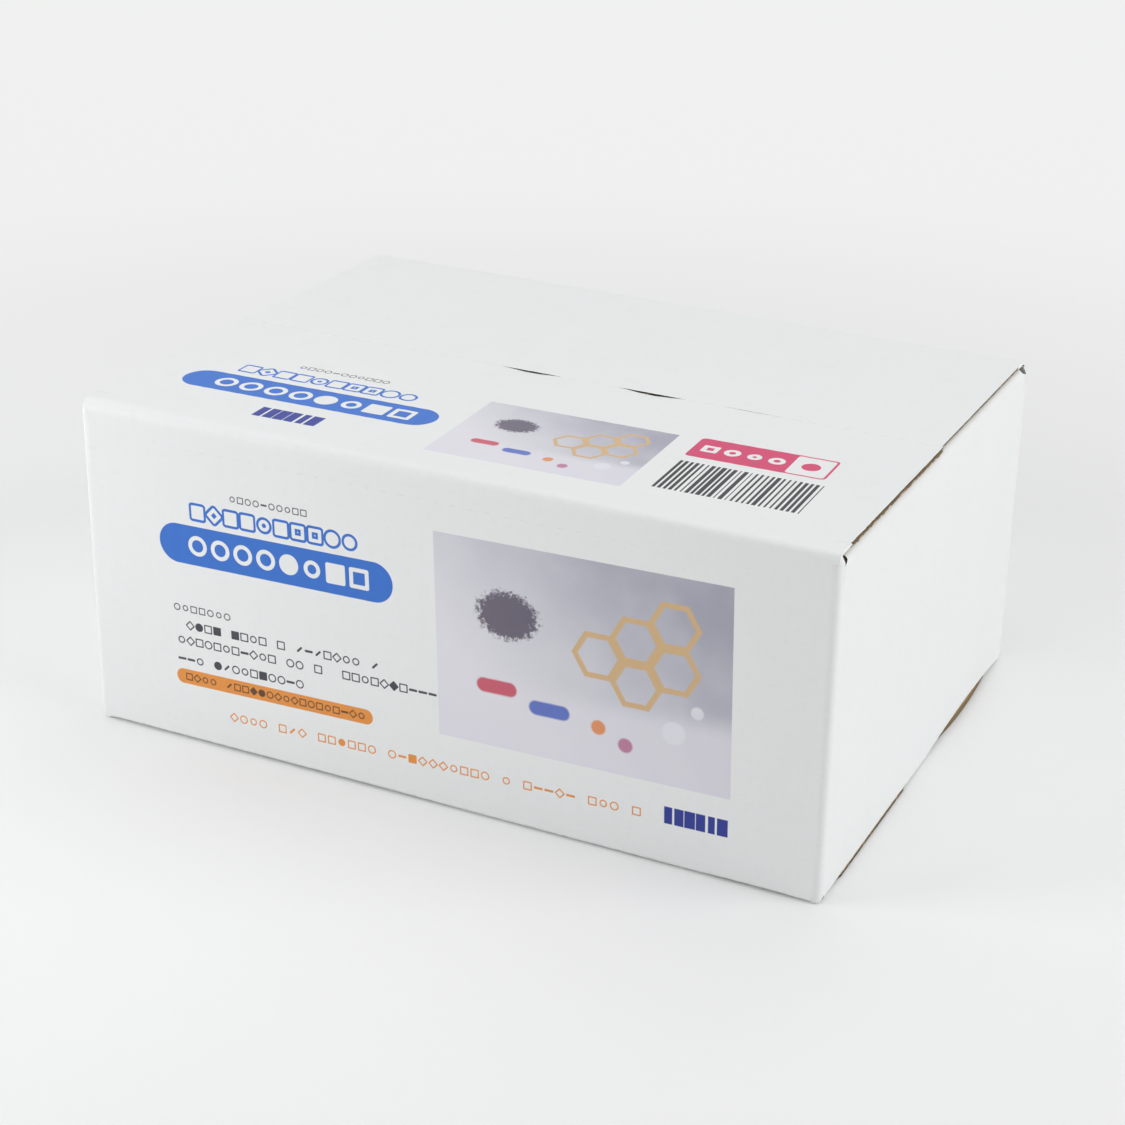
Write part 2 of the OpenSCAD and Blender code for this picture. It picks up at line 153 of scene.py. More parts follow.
class PrintColours(bpy.types.PropertyGroup):
    """Colours of the carton's paper and of the inks on it"""

    white: colour("White liner", "Outer paper of the board", 244, 246, 246)
    kraft: colour("Kraft liner", "Inner paper of the board", 190, 160, 118)
    medium: colour("Medium", "Waved paper inside the board", 172, 146, 104)
    # painted shade: the dark of the gaps between the crushed flutes along a cut edge
    cut: colour("Cut edge", "Dark gaps along the cut edges", 58, 54, 48)
    blue: colour("Blue ink", "The long rounded blocks", 46, 114, 210)
    navy: colour("Navy ink", "Outlines and short bars", 34, 52, 150)
    orange: colour("Orange ink", "The lower rounded block and the foot line", 236, 150, 62)
    pink: colour("Pink ink", "The small plate on the top", 216, 62, 112)
    grey: colour("Grey ink", "The small lines", 62, 64, 72)
    black: colour("Black ink", "The uneven bars on the top", 26, 26, 30)


class ContentsLooks(bpy.types.PropertyGroup):
    """Sizes and colours of the things in the carton"""

    wood: colour("Pale wood", "Boards of the rack", 222, 190, 142)
    peg: colour("Peg wood", "Drying pegs", 190, 122, 76)
    bristles: IntProperty(
        name="Bristles", description="Number of bristles on the brush", default=2600, min=200
    )
    bristle: colour("Bristle", "Bristles of the brush", 42, 32, 48)
    solution: colour("Solution", "Indicator solution in the bottle", 24, 84, 66)
    cap: colour("Cap", "Screw cap of the bottle", 240, 112, 40)
    red: colour("Red card", "Cover of the red litmus pack", 206, 40, 66)
    blue: colour("Blue card", "Cover of the blue litmus pack", 44, 92, 190)
    edge: length("Edge rounding", "Rounding along the edges of the rack's boards", 0.7)


class StageLooks(bpy.types.PropertyGroup):
    """Floor, light and camera"""

    floor: colour("Floor", "Floor round the carton", 249, 249, 249)
    distance: colour("Distance", "Floor and backdrop far from the carton", 237, 238, 237)
    sky: strength("Sky", "Strength of the even light", 0.23)
    left: strength("Left lamp", "Power of the left lamp", 2.55)
    right: strength("Right lamp", "Power of the right lamp", 10.5)
    top: strength("Top lamp", "Power of the top lamp", 47)
    azimuth: angle("Azimuth", "Turn of the camera round the carton", 23.521)
    elevation: angle("Elevation", "Downward tilt of the camera", 22.601)
    roll: angle("Roll", "Turn of the camera about its line of sight", 1.854)


# Node trees


class Graph:
    """Adds nodes to a node tree and links them. A value may be a number or another node's output."""

    def __init__(self, tree):
        self.tree = tree

    def node(self, kind, **settings):
        made = self.tree.nodes.new(kind)
        made.location = (180 * (len(self.tree.nodes) % 12), -220 * (len(self.tree.nodes) // 12))
        for name, value in settings.items():
            setattr(made, name, value)
        return made

    def feed(self, socket, value):
        if isinstance(value, bpy.types.NodeSocket):
            self.tree.links.new(value, socket)
        elif hasattr(value, "__len__") and len(value) == 3 and socket.type == "RGBA":
            socket.default_value = (*value, 1)
        else:
            socket.default_value = value

    def fill(self, made, **values):
        """Feeds the named inputs of a node. An underscore stands for a space."""
        for name, value in values.items():
            self.feed(made.inputs[name.replace("_", " ")], value)

    def math(self, operation, *values):
        made = self.node("ShaderNodeMath", operation=operation)
        for socket, value in zip(made.inputs, values):
            self.feed(socket, value)
        return made.outputs[0]

    def smooth(self, value, low, high, to_low=0.0, to_high=1.0):
        """Goes smoothly from to_low to to_high while value goes from low to high."""
        made = self.node("ShaderNodeMapRange", interpolation_type="SMOOTHSTEP")
        self.fill(made, Value=value, From_Min=low, From_Max=high, To_Min=to_low, To_Max=to_high)
        return made.outputs[0]

    def inside(self, gap, blur, share=1.0):
        """share where gap is below 0 and 0 where it is above, the line between blurred a little."""
        return self.smooth(gap, -blur, blur, share, 0.0)

    def mix(self, share, first, second, blend="MIX"):
        made = self.node("ShaderNodeMix", data_type="RGBA", blend_type=blend)
        for index, value in ((0, share), (6, first), (7, second)):
            self.feed(made.inputs[index], value)
        return made.outputs[2]

    def place(self):
        """Object coordinates in metres."""
        return self.node("ShaderNodeTexCoord").outputs["Object"]

    def moved(self, vector, shift=(0, 0, 0), turn=(0, 0, 0), scale=(1, 1, 1)):
        made = self.node("ShaderNodeMapping")
        self.fill(made, Vector=vector, Location=shift, Rotation=turn, Scale=scale)
        return made.outputs[0]

    def noise(self, vector, scale, detail=2.0, roughness=0.5, distortion=0.0):
        made = self.node("ShaderNodeTexNoise")
        self.fill(made, Vector=vector, Scale=scale, Detail=detail)
        self.fill(made, Roughness=roughness, Distortion=distortion)
        return made.outputs["Fac"]

    def split(self, vector):
        made = self.node("ShaderNodeSeparateXYZ")
        self.feed(made.inputs[0], vector)
        return made.outputs

    def chance(self, number):
        """A random value from 0 to 1 that belongs to a whole number."""
        made = self.node("ShaderNodeTexWhiteNoise", noise_dimensions="1D")
        self.feed(made.inputs["W"], number)
        return made.outputs["Value"]

    def plus(self, first, second):
        return self.math("ADD", first, second)

    def minus(self, first, second):
        return self.math("SUBTRACT", first, second)

    def times(self, first, second):
        return self.math("MULTIPLY", first, second)

    def times_plus(self, first, second, added):
        return self.math("MULTIPLY_ADD", first, second, added)

    def apart(self, first, second):
        """How far two values are apart."""
        return self.math("ABSOLUTE", self.minus(first, second))

    def group(self, tree, **values):
        made = self.node("ShaderNodeGroup", node_tree=tree)
        self.fill(made, **values)
        return made.outputs

    def bump(self, height, distance, strength=1.0):
        made = self.node("ShaderNodeBump")
        self.fill(made, Height=height, Distance=distance, Strength=strength)
        return made.outputs[0]


def node_group(name, inputs, outputs, build):
    """Makes a shader group once. inputs maps names to defaults, and outputs names the results."""
    found = bpy.data.node_groups.get(name)
    if found:
        return found
    tree = bpy.data.node_groups.new(name, "ShaderNodeTree")
    for label, value in inputs.items():
        kind = "NodeSocketFloat" if isinstance(value, (int, float)) else "NodeSocketVector"
        if hasattr(value, "__len__") and len(value) == 4:
            kind = "NodeSocketColor"
        socket = tree.interface.new_socket(name=label, in_out="INPUT", socket_type=kind)
        socket.default_value = value
    for label in outputs:
        kind = "NodeSocketColor" if label == "Color" else "NodeSocketFloat"
        tree.interface.new_socket(name=label, in_out="OUTPUT", socket_type=kind)
    graph = Graph(tree)
    entry, result = graph.node("NodeGroupInput"), graph.node("NodeGroupOutput")
    for label, value in build(graph, entry.outputs).items():
        graph.feed(result.inputs[label], value)
    return tree


def material(name, build, **fixed):
    """A material on one Principled BSDF. fixed sets plain sockets, and build feeds the varied ones."""
    made = bpy.data.materials.new(name)
    made.use_nodes = True
    tree = made.node_tree
    shader = tree.nodes["Principled BSDF"]
    for label, value in fixed.items():
        label = label.replace("_", " ").title().replace("Ior", "IOR")
        socket = shader.inputs[label]
        socket.default_value = (*value, 1) if socket.type == "RGBA" else value
    graph = Graph(tree)
    for label, value in build(graph).items():
        graph.feed(shader.inputs[label], value)
    return made


def mottle_group():
    """Soft blotches and a fine grain, as a shade round 1 and a height."""

    def build(g, i):
        place = i["Place"]
        soft = g.noise(place, i["Blotch Scale"], 3)
        fine = g.noise(place, i["Grain Scale"], 2, 0.6)
        uneven = g.plus(g.times(soft, 0.5), g.times(fine, 0.5))
        swing = g.times(g.minus(uneven, 0.5), i["Amount"])
        return {"Shade": g.plus(swing, 1.0), "Height": fine}

    return node_group(
        "mottle",
        {"Place": (0, 0, 0), "Blotch Scale": 40.0, "Grain Scale": 900.0, "Amount": 0.1},
        ["Shade", "Height"],
        build,
    )


def fibre_group():
    """Short paper fibres that lie mostly one way, as flecks and a height."""

    def build(g, i):
        long_way = g.moved(i["Place"], scale=(160, 160, 1100))
        cross = g.moved(i["Place"], turn=(0.5, 0.4, 0.3), scale=(900, 900, 260))
        first, second = g.noise(long_way, 1.0, 2), g.noise(cross, 1.0, 2)
        both = g.times(first, second)
        return {"Fleck": g.smooth(both, 0.27, 0.42), "Height": both}

    return node_group("paper fibres", {"Place": (0, 0, 0)}, ["Fleck", "Height"], build)


def grain_group():
    """Wood grain along X: growth lines and short pores."""

    def build(g, i):
        bent = g.moved(i["Place"], scale=(7, 55, 55))
        drift = g.noise(bent, 1.0, 3, 0.5, 0.6)
        lines = g.math("SINE", g.times(drift, i["Rings"]))
        soft = g.plus(g.times(lines, 0.5), 0.5)
        pores = g.noise(g.moved(i["Place"], scale=(120, 1500, 1500)), 1.0, 2)
        return {
            "Line": g.math("POWER", soft, 1.6),
            "Pore": g.smooth(pores, 0.58, 0.72),
        }

    return node_group("wood grain", {"Place": (0, 0, 0), "Rings": 46.0}, ["Line", "Pore"], build)


# Print: flat shapes on the white liner


def block_group():
    """Inside of a rounded block, by its middle, half sizes and corner radius."""

    def build(g, i):
        def overhang(along, middle, half):
            away = g.apart(i[along], i[middle])
            return g.minus(away, g.minus(i[half], i["Radius"]))

        across, up = overhang("U", "Middle U", "Half U"), overhang("V", "Middle V", "Half V")
        outer = g.plus(
            g.math("POWER", g.math("MAXIMUM", across, 0.0), 2.0),
            g.math("POWER", g.math("MAXIMUM", up, 0.0), 2.0),
        )
        outer = g.math("SQRT", outer)
        inner = g.math("MINIMUM", g.math("MAXIMUM", across, up), 0.0)
        gap = g.minus(g.plus(outer, inner), i["Radius"])
        return {"Mask": g.inside(gap, 0.08), "Gap": gap}

    sizes = {"U": 0.0, "V": 0.0, "Middle U": 0.0, "Middle V": 0.0}
    sizes.update({"Half U": 1.0, "Half V": 1.0, "Radius": 0.0})
    return node_group("rounded block", sizes, ["Mask", "Gap"], build)


def block(g, u, v, middle, half, radius):
    """Results of a rounded block, its middle and its half sizes given as (u, v)."""
    return g.group(
        block_group(),
        U=u,
        V=v,
        Middle_U=middle[0],
        Middle_V=middle[1],
        Half_U=half[0],
        Half_V=half[1],
        Radius=radius,
    )


def dash_group():
    """A line of dashes of uneven length between Start and End."""

    def build(g, i):
        steps = g.math("DIVIDE", g.minus(i["U"], i["Start"]), i["Step"])
        cell = g.math("FLOOR", steps)
        part = g.minus(steps, cell)
        width = g.times_plus(g.chance(g.plus(cell, i["Seed"])), 0.34, i["Least"])
        off = g.apart(part, 0.5)
        dash = g.inside(g.minus(off, width), 0.04)
        level = g.apart(i["V"], i["Middle V"])
        row = g.inside(g.minus(level, i["Half V"]), 0.1)
        past = g.math("GREATER_THAN", i["U"], i["Start"])
        before = g.math("LESS_THAN", i["U"], i["End"])
        dashes = g.times(dash, row)
        return {"Mask": g.times(dashes, g.times(past, before))}

    sizes = {"U": 0.0, "V": 0.0, "Start": 0.0, "End": 1.0, "Middle V": 0.0}
    sizes.update({"Half V": 1.0, "Step": 2.0, "Least": 0.3, "Seed": 0.0})
    return node_group("line of dashes", sizes, ["Mask"], build)


def token_group():
    """A row of small plain shapes: discs, rings, squares, diamonds and bars, one to a cell."""

    def build(g, i):
        steps = g.math("DIVIDE", g.minus(i["U"], i["Start"]), i["Step"])
        cell = g.math("FLOOR", steps)
        local = g.times(g.minus(g.minus(steps, cell), 0.5), i["Step"])
        up = g.minus(i["V"], i["Middle V"])
        key = g.plus(cell, i["Seed"])

        def drawn(number, limit):
            """1 in a cell whose random draw of that number is over limit, otherwise 0."""
            return g.math("GREATER_THAN", g.chance(g.plus(key, number)), limit)

        turned = drawn(40.0, 0.62)
        slope_u = g.times(g.plus(local, up), 0.7071)
        slope_v = g.times(g.minus(up, local), 0.7071)

        def choose(plain, other):
            return g.times_plus(g.minus(other, plain), turned, plain)

        size = g.times(i["Size"], g.minus(1.0, g.times(turned, 0.14)))
        flat = g.times(drawn(120.0, 0.8), i["Bars"])
        tall = g.times(size, g.times_plus(flat, -0.72, 1.0))
        rounding = g.times(tall, g.math("GREATER_THAN", g.chance(key), 0.45))
        shape = g.group(
            block_group(),
            U=choose(local, slope_u),
            V=choose(up, slope_v),
            Half_U=size,
            Half_V=tall,
            Radius=g.math("MAXIMUM", rounding, g.times(tall, 0.2)),
        )["Gap"]
        hollow = drawn(80.0, i["Solid"])
        line = g.math("ABSOLUTE", g.plus(shape, i["Stroke"]))
        rim = g.minus(line, i["Stroke"])
        solid = g.times_plus(g.minus(rim, shape), hollow, shape)
        inside = g.times(
            g.math("GREATER_THAN", i["U"], i["Start"]), g.math("LESS_THAN", i["U"], i["End"])
        )
        filled = drawn(160.0, i["Gaps"])
        inside = g.times(inside, filled)
        edge = g.minus(solid, i["Outline"])
        return {
            "Mask": g.times(g.inside(solid, 0.08), inside),
            "Rim": g.times(g.inside(edge, 0.08), inside),
        }

    sizes = {"U": 0.0, "V": 0.0, "Start": 0.0, "End": 1.0, "Middle V": 0.0}
    sizes.update({"Step": 8.0, "Size": 3.0, "Stroke": 0.8, "Outline": 0.0, "Seed": 0.0})
    sizes.update({"Solid": 0.4, "Gaps": 0.0, "Bars": 0.0})
    return node_group("row of shapes", sizes, ["Mask", "Rim"], build)


def hexagon_group():
    """Line round a hexagon."""

    def build(g, i):
        across = g.apart(i["U"], i["Middle U"])
        up = g.apart(i["V"], i["Middle V"])
        slant = g.times_plus(across, 0.866, g.times(up, 0.5))
        gap = g.minus(g.math("MAXIMUM", slant, up), i["Radius"])
        line = g.minus(g.math("ABSOLUTE", gap), i["Line"])
        return {"Mask": g.inside(line, 0.004)}

    sizes = {"U": 0.0, "V": 0.0, "Middle U": 0.0, "Middle V": 0.0, "Radius": 0.1, "Line": 0.01}
    return node_group("hexagon line", sizes, ["Mask"], build)


def picture_group():
    """Printed field in lavender greys with a few plain shapes.

    V goes from 0 to 1 over its height, and U from 0 to about 1.4 over its width.
    """

    def build(g, i):
        u, v = i["U"], i["V"]
        place = g.node("ShaderNodeCombineXYZ")
        g.feed(place.inputs[0], u)
        g.feed(place.inputs[1], v)
        place = place.outputs[0]
        shade = g.smooth(g.times_plus(u, 0.8, g.times(v, 0.9)), 0.3, 2.0)
        field = g.mix(shade, screen_colour(234, 233, 240), screen_colour(170, 170, 186))
        table = g.smooth(g.times_plus(u, -0.05, v), 0.2, 0.34, 0.75, 0.0)
        field = g.mix(table, field, screen_colour(234, 232, 241))
        cloud = g.smooth(g.noise(place, 3.0, 3), 0.35, 0.7, 0.0, 0.2)
        field = g.mix(cloud, field, screen_colour(240, 239, 244))
        honeycomb = (0.98, 0.66), (1.162, 0.555), (0.98, 0.45), (1.162, 0.765), (0.798, 0.555)
        for middle_u, middle_v in honeycomb:
            ring = g.group(
                hexagon_group(),
                U=u,
                V=v,
                Middle_U=middle_u,
                Middle_V=middle_v,
                Radius=0.096,
                Line=0.013,
            )["Mask"]
            field = g.mix(ring, field, screen_colour(218, 184, 136))
        fuzz = g.noise(place, 46.0, 3, 0.7)
        away_u = g.math("DIVIDE", g.minus(u, 0.36), 0.17)
        away_v = g.math("DIVIDE", g.minus(v, 0.66), 0.13)
        away = g.plus(g.math("POWER", away_u, 2.0), g.math("POWER", away_v, 2.0))
        burst = g.smooth(g.times_plus(fuzz, 1.6, away), 1.35, 1.75, 0.85, 0.0)
        field = g.mix(burst, field, screen_colour(58, 42, 74))
        for middle, half, tint in (
            ((0.30, 0.30), (0.10, 0.035), (206, 50, 84)),
            ((0.56, 0.24), (0.10, 0.035), (58, 96, 196)),
            ((0.80, 0.21), (0.035, 0.035), (236, 140, 62)),
            ((0.93, 0.15), (0.035, 0.035), (190, 112, 150)),
            ((1.16, 0.26), (0.055, 0.055), (236, 236, 244)),
            ((1.27, 0.38), (0.03, 0.03), (236, 236, 244)),
        ):
            gap = block(g, u, v, middle, half, min(half))["Gap"]
            field = g.mix(g.inside(gap, 0.006, 0.9), field, screen_colour(*tint))
        return {"Color": field}

    return node_group("printed picture", {"U": 0.0, "V": 0.0}, ["Color"], build)


def print_axes(g, across, up, tilt, middle):
    """Print coordinates in millimetres, turned a little as the sheet was printed askew."""
    cos, sin = math.cos(tilt), math.sin(tilt)
    across = g.times(across, 1000.0)
    up = g.minus(g.times(up, 1000.0), middle)
    u = g.times_plus(up, sin, g.times(across, cos))
    v = g.times_plus(across, -sin, g.times_plus(up, cos, middle))
    return u, v


class Printer:
    """Lays one ink after another over a colour."""

    def __init__(self, g, u, v, ground):
        self.g, self.u, self.v, self.result = g, u, v, ground

    def lay(self, mask, tint):
        self.result = self.g.mix(mask, self.result, tint)

    def block(self, u0, u1, v0, v1, radius, tint):
        """A rounded block between two corners. tint may be a colour or the nodes of a pattern."""
        middle, half = ((u0 + u1) / 2, (v0 + v1) / 2), ((u1 - u0) / 2, (v1 - v0) / 2)
        self.lay(block(self.g, self.u, self.v, middle, half, radius)["Mask"], tint)

    def dashes(self, start, end, middle, half, step, seed, tint, least=0.3):
        """A line of dashes, one to a step. Each reaches the share least of a step or more to
        each side of its middle."""
        mask = self.g.group(
            dash_group(),
            U=self.u,
            V=self.v,
            Start=start,
            End=end,
            Middle_V=middle,
            Half_V=half,
            Step=step,
            Least=least,
            Seed=seed,
        )["Mask"]
        self.lay(mask, tint)

    def line(self, start, end, middle, step, size, seed, tint):
        """A line of small plain shapes of thin strokes, with a gap here and there."""
        end = start + step * round((end - start) / step)
        mask = self.g.group(
            token_group(),
            U=self.u,
            V=self.v,
            Start=start,
            End=end,
            Middle_V=middle,
            Step=step,
            Size=size,
            Stroke=size * 0.15,
            Seed=seed,
            Solid=0.12,
            Gaps=0.13,
            Bars=1.0,
        )["Mask"]
        self.lay(mask, tint)

    def tokens(self, start, end, middle, count, size, outline, seed, tint, rim, stroke=0.8):
        """A row of count large plain shapes, with an outline in the colour of rim if it is given."""
        made = self.g.group(
            token_group(),
            U=self.u,
            V=self.v,
            Start=start,
            End=end,
            Middle_V=middle,
            Step=(end - start) / count,
            Size=size,
            Stroke=stroke,
            Outline=outline,
            Seed=seed,
        )
        if rim:
            self.lay(made["Rim"], rim)
        self.lay(made["Mask"], tint)

    def picture(self, u0, u1, v0, v1):
        g = self.g
        scale = 1 / (v1 - v0)
        shown = g.group(
            picture_group(),
            U=g.times(g.minus(self.u, u0), scale),
            V=g.times(g.minus(self.v, v0), scale),
        )["Color"]
        self.block(u0, u1, v0, v1, 0.1, shown)


def front_print(g, place, ground):
    """What is printed on the front wall. U counts from its middle and V from the floor."""
    inks = bpy.context.scene.carton_inks
    x, _, z = g.split(place)
    p = Printer(g, *print_axes(g, x, z, math.radians(1.4), 60.0), ground)
    p.picture(0, 98.2, 26, 94.7)
    p.line(-73.3, -43, 92.3, 2.9, 1.15, 3, inks.grey)
    p.tokens(-88.5, -26.5, 85.4, 10, 2.3, 0.9, 21, inks.white, inks.blue, 0.6)
    p.block(-100.7, -14.8, 66.8, 80.4, 6.8, inks.blue)
    p.tokens(-90.5, -22.5, 73.7, 8, 3.5, 0, 5, inks.white, None, 0.7)
    p.line(-97.6, -74.6, 50.8, 3.2, 1.25, 9, inks.grey)
    p.line(-96.6, -20.8, 44.8, 3.45, 1.5, 17, inks.grey)
    p.line(-96.9, -1.8, 39.2, 3.45, 1.5, 45, inks.grey)
    p.line(-97.2, -50.2, 32.4, 3.45, 1.5, 71, inks.grey)
    p.block(-98, -24, 23.4, 28.7, 2.6, inks.orange)
    p.line(-94.8, -27.2, 26.05, 3.1, 1.3, 33, screen_colour(98, 60, 34))
    p.line(-78.5, 70, 14.8, 3.7, 1.5, 91, inks.orange)
    p.dashes(76.4, 97.6, 15.9, 2.9, 3.53, 52, inks.navy)
    return p.result


def flap_print(g, place, ground):
    """What is printed on the front flap. U counts from its middle and V from the front edge."""
    inks = bpy.context.scene.carton_inks
    x, y, _ = g.split(place)
    back = g.plus(y, -CAD_BOX[0].y)
    p = Printer(g, *print_axes(g, x, back, math.radians(1.5), 38.0), ground)
    p.picture(-12.8, 52.6, 14.4, 61.2)
    p.line(-84, -51, 61.4, 3.1, 1.3, 3, inks.grey)
    p.tokens(-100.5, -35, 52.2, 10, 2.6, 0.9, 21, inks.white, inks.blue, 0.7)
    p.block(-113, -20.6, 30.6, 45.4, 7.4, inks.blue)
    p.tokens(-102, -28, 38, 8, 3.9, 0, 5, inks.white, None, 0.8)
    p.dashes(-75, -52, 20, 3.9, 3.8, 52, inks.navy)
    p.dashes(60.5, 107, 30.4, 11.6, 1.75, 7, inks.black, 0.1)
    p.block(60, 105.4, 46.4, 62.4, 1.6, inks.pink)
    p.block(92.2, 104.6, 47.2, 61.6, 1.0, inks.white)
    p.block(95.4, 101.4, 51.4, 57.4, 3.0, inks.pink)
    p.tokens(62, 91, 54.4, 4, 2.7, 0, 12, inks.white, None)
    return p.result


def white_board(name, printed=None):
    """White liner: soft mottle, a fine tooth and, where it is given, the print."""

    def build(g):
        place = g.place()
        rough = g.group(mottle_group(), Place=place, Blotch_Scale=22.0, Grain_Scale=1500.0, Amount=0.05)
        fibres = g.group(fibre_group(), Place=place)
        white = bpy.context.scene.carton_inks.white
        ground = g.mix(g.times(fibres["Fleck"], 0.10), white, screen_colour(226, 226, 222))
        if printed:
            ground = printed(g, place, ground)
        shaded = g.mix(1.0, ground, rough["Shade"], "MULTIPLY")
        height = g.plus(rough["Height"], fibres["Height"])
        return {
            "Base Color": shaded,
            "Roughness": g.times_plus(rough["Height"], 0.15, 0.42),
            "Normal": g.bump(height, 0.00003, 0.5),
        }

    return material(name, build)


def kraft_paper(name, tint):
    """Unbleached paper with dark and light flecks."""

    def build(g):
        place = g.place()
        rough = g.group(mottle_group(), Place=place, Blotch_Scale=45.0, Grain_Scale=1600.0, Amount=0.18)
        fibres = g.group(fibre_group(), Place=place)
        ground = g.mix(g.times(fibres["Fleck"], 0.3), tint, tuple(c * 0.68 for c in tint))
        return {
            "Base Color": g.mix(1.0, ground, rough["Shade"], "MULTIPLY"),
            "Roughness": g.times_plus(fibres["Height"], 0.2, 0.72),
            "Normal": g.bump(fibres["Height"], 0.00005, 0.7),
        }

    return material(name, build)


def cut_edge(name, pale, dark):
    """Cut and crushed edge of the board: pale fibres between dark gaps. The fibres are the paper's own
    colour, and the dark of the gaps is painted shade in the hollows of the crushed flutes.
    """

    def build(g):
        place = g.place()
        gaps = g.noise(place, 420.0, 2, 0.6)
        flecks = g.noise(place, 1700.0, 2, 0.6)
        share = g.times_plus(flecks, 0.5, g.times(gaps, 0.8))
        return {
            # the dark share is painted shade in the gaps, and the pale share is the fibres' own colour
            "Base Color": g.mix(g.smooth(share, 0.46, 0.62), pale, dark),
            "Roughness": g.times_plus(flecks, 0.2, 0.75),
            "Normal": g.bump(share, 0.0002, 0.8),
        }

    return material(name, build)


# Mesh tools


class Piece:
    """Collects the shells of one piece and makes its object."""

    def __init__(self, name, *materials):
        self.name, self.materials, self.mesh = name, materials, bmesh.new()

    def add(self, shell):
        """Moves another bmesh into this piece."""
        part = bpy.data.meshes.new("part")
        shell.to_mesh(part)
        shell.free()
        self.mesh.from_mesh(part)
        bpy.data.meshes.remove(part)

    def finish(self, body, replaced=(), slot=None, sharp=35.0, smooth=True):
        """Makes the object. It rides on body and stands for the CAD nodes in replaced."""
        mesh = bpy.data.meshes.new(self.name)
        for one in self.materials:
            mesh.materials.append(one)
        self.mesh.to_mesh(mesh)
        self.mesh.free()
        made = bpy.data.objects.new(self.name, mesh)
        bpy.context.scene.collection.objects.link(made)
        if smooth:
            mesh.shade_smooth()
            mesh.set_sharp_from_angle(angle=math.radians(sharp))
        if body:
            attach(made, body)
        if replaced:
            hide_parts(*replaced)
        return made


def single(name, made_of, shell, node, slot, body="carton", **shading):
    """A piece of one shell that stands for one CAD node."""
    piece = Piece(name, made_of)
    piece.add(shell)
    piece.finish(body, [node], slot, **shading)


def slab(s_cuts, t_cuts, place, outer=0, inner=1, rim=1):
    """A closed thin sheet. place(s, t, k) is a point in millimetres, k being 1 on the outer side.
    outer, inner and rim are the numbers of the materials on its faces."""
    bm = bmesh.new()
    across, along = len(s_cuts) - 1, len(t_cuts) - 1
    flat = bmesh.ops.create_grid(bm, x_segments=across, y_segments=along, size=1)
    faces = list({f for v in flat["verts"] for f in v.link_faces})
    raised = bmesh.ops.extrude_face_region(bm, geom=faces)["geom"]
    top = [v for v in raised if isinstance(v, bmesh.types.BMVert)]
    bmesh.ops.translate(bm, verts=top, vec=(0, 0, 1))
    bmesh.ops.recalc_face_normals(bm, faces=bm.faces[:])
    bm.normal_update()
    for face in bm.faces:
        face.material_index = outer if face.normal.z > 0.9 else inner if face.normal.z < -0.9 else rim
    for v in bm.verts:
        s = s_cuts[round((v.co.x + 1) / 2 * across)]
        t = t_cuts[round((v.co.y + 1) / 2 * along)]
        v.co = Vector(place(s, t, round(v.co.z))) * MM
    bmesh.ops.recalc_face_normals(bm, faces=bm.faces[:])
    return bm


def lathe(profile, steps, place, index=0):
    """Turns a profile of (radius, height) about Z, then puts it in its place."""
    bm = bmesh.new()
    ring = [bm.verts.new((r * MM, 0, z * MM)) for r, z in profile]
    lines = [bm.edges.new(pair) for pair in zip(ring, ring[1:])]
    if profile[0][0] > 1e-6 or profile[-1][0] > 1e-6:
        lines.append(bm.edges.new((ring[-1], ring[0])))
    bmesh.ops.spin(
        bm,
        geom=ring + lines,
        cent=(0, 0, 0),
        axis=(0, 0, 1),
        dvec=(0, 0, 0),
        angle=math.tau,
        steps=steps,
        use_merge=True,
        use_duplicate=False,
    )
    bmesh.ops.remove_doubles(bm, verts=bm.verts[:], dist=1e-7)
    bmesh.ops.recalc_face_normals(bm, faces=bm.faces[:])
    for face in bm.faces:
        face.material_index = index
    bmesh.ops.transform(bm, matrix=place, verts=bm.verts[:])
    return bm


def arc(middle_r, middle_z, radius, start, end, steps):
    """Points of a profile along an arc, its angles in degrees counted from +R towards +Z."""
    return [
        (
            max(0.0, middle_r + radius * math.cos(math.radians(start + (end - start) * k / steps))),
            middle_z + radius * math.sin(math.radians(start + (end - start) * k / steps)),
        )
        for k in range(steps + 1)
    ]


def lying(low, high):
    """Place of a turned thing that lies along X between two corners, its top towards +X."""
    middle = (low + high) / 2
    foot = Vector((low.x, middle.y, middle.z))
    return Matrix.Translation(foot * MM) @ Matrix.Rotation(math.radians(90), 4, "Y")


def round_edges(bm, edges, radius, segments=2):
    bmesh.ops.bevel(
        bm,
        geom=edges,
        offset=radius * MM,
        segments=segments,
        profile=0.5,
        affect="EDGES",
        clamp_overlap=True,
        material=-1,
    )


def rounded_box(low, high, radius, segments=2, index=0):
    """A box with rounded edges between two corners in millimetres."""
    low, high = Vector(low), Vector(high)
    bm = bmesh.new()
    bmesh.ops.create_cube(bm, size=1)
    bmesh.ops.scale(bm, vec=(high - low) * MM, verts=bm.verts[:])
    bmesh.ops.translate(bm, vec=(low + high) / 2 * MM, verts=bm.verts[:])
    round_edges(bm, bm.edges[:], radius, segments)
    for face in bm.faces:
        face.material_index = index
    return bm


def copied(node, radius):
    """A merged copy of a CAD node's mesh with its sharp edges rounded."""
    bm = bmesh.new()
    bm.from_mesh(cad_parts[node].data)
    bmesh.ops.remove_doubles(bm, verts=bm.verts[:], dist=1e-6)
    bmesh.ops.dissolve_limit(bm, angle_limit=math.radians(0.5), verts=bm.verts[:], edges=bm.edges[:])
    for face in bm.faces:
        face.material_index = 0
    bm.normal_update()
    sharp = [e for e in bm.edges if len(e.link_faces) == 2 and e.calc_face_angle(0) > 0.7]
    round_edges(bm, sharp, radius)
    return bm


def spaced(start, end, count):
    """Numbers from start to end in equal steps."""
    return [start + (end - start) * k / count for k in range(count + 1)]


def ease(value, low, high):
    """Smooth step from 0 at low to 1 at high."""
    part = min(1.0, max(0.0, (value - low) / (high - low)))
    return part * part * (3 - 2 * part)


# Board

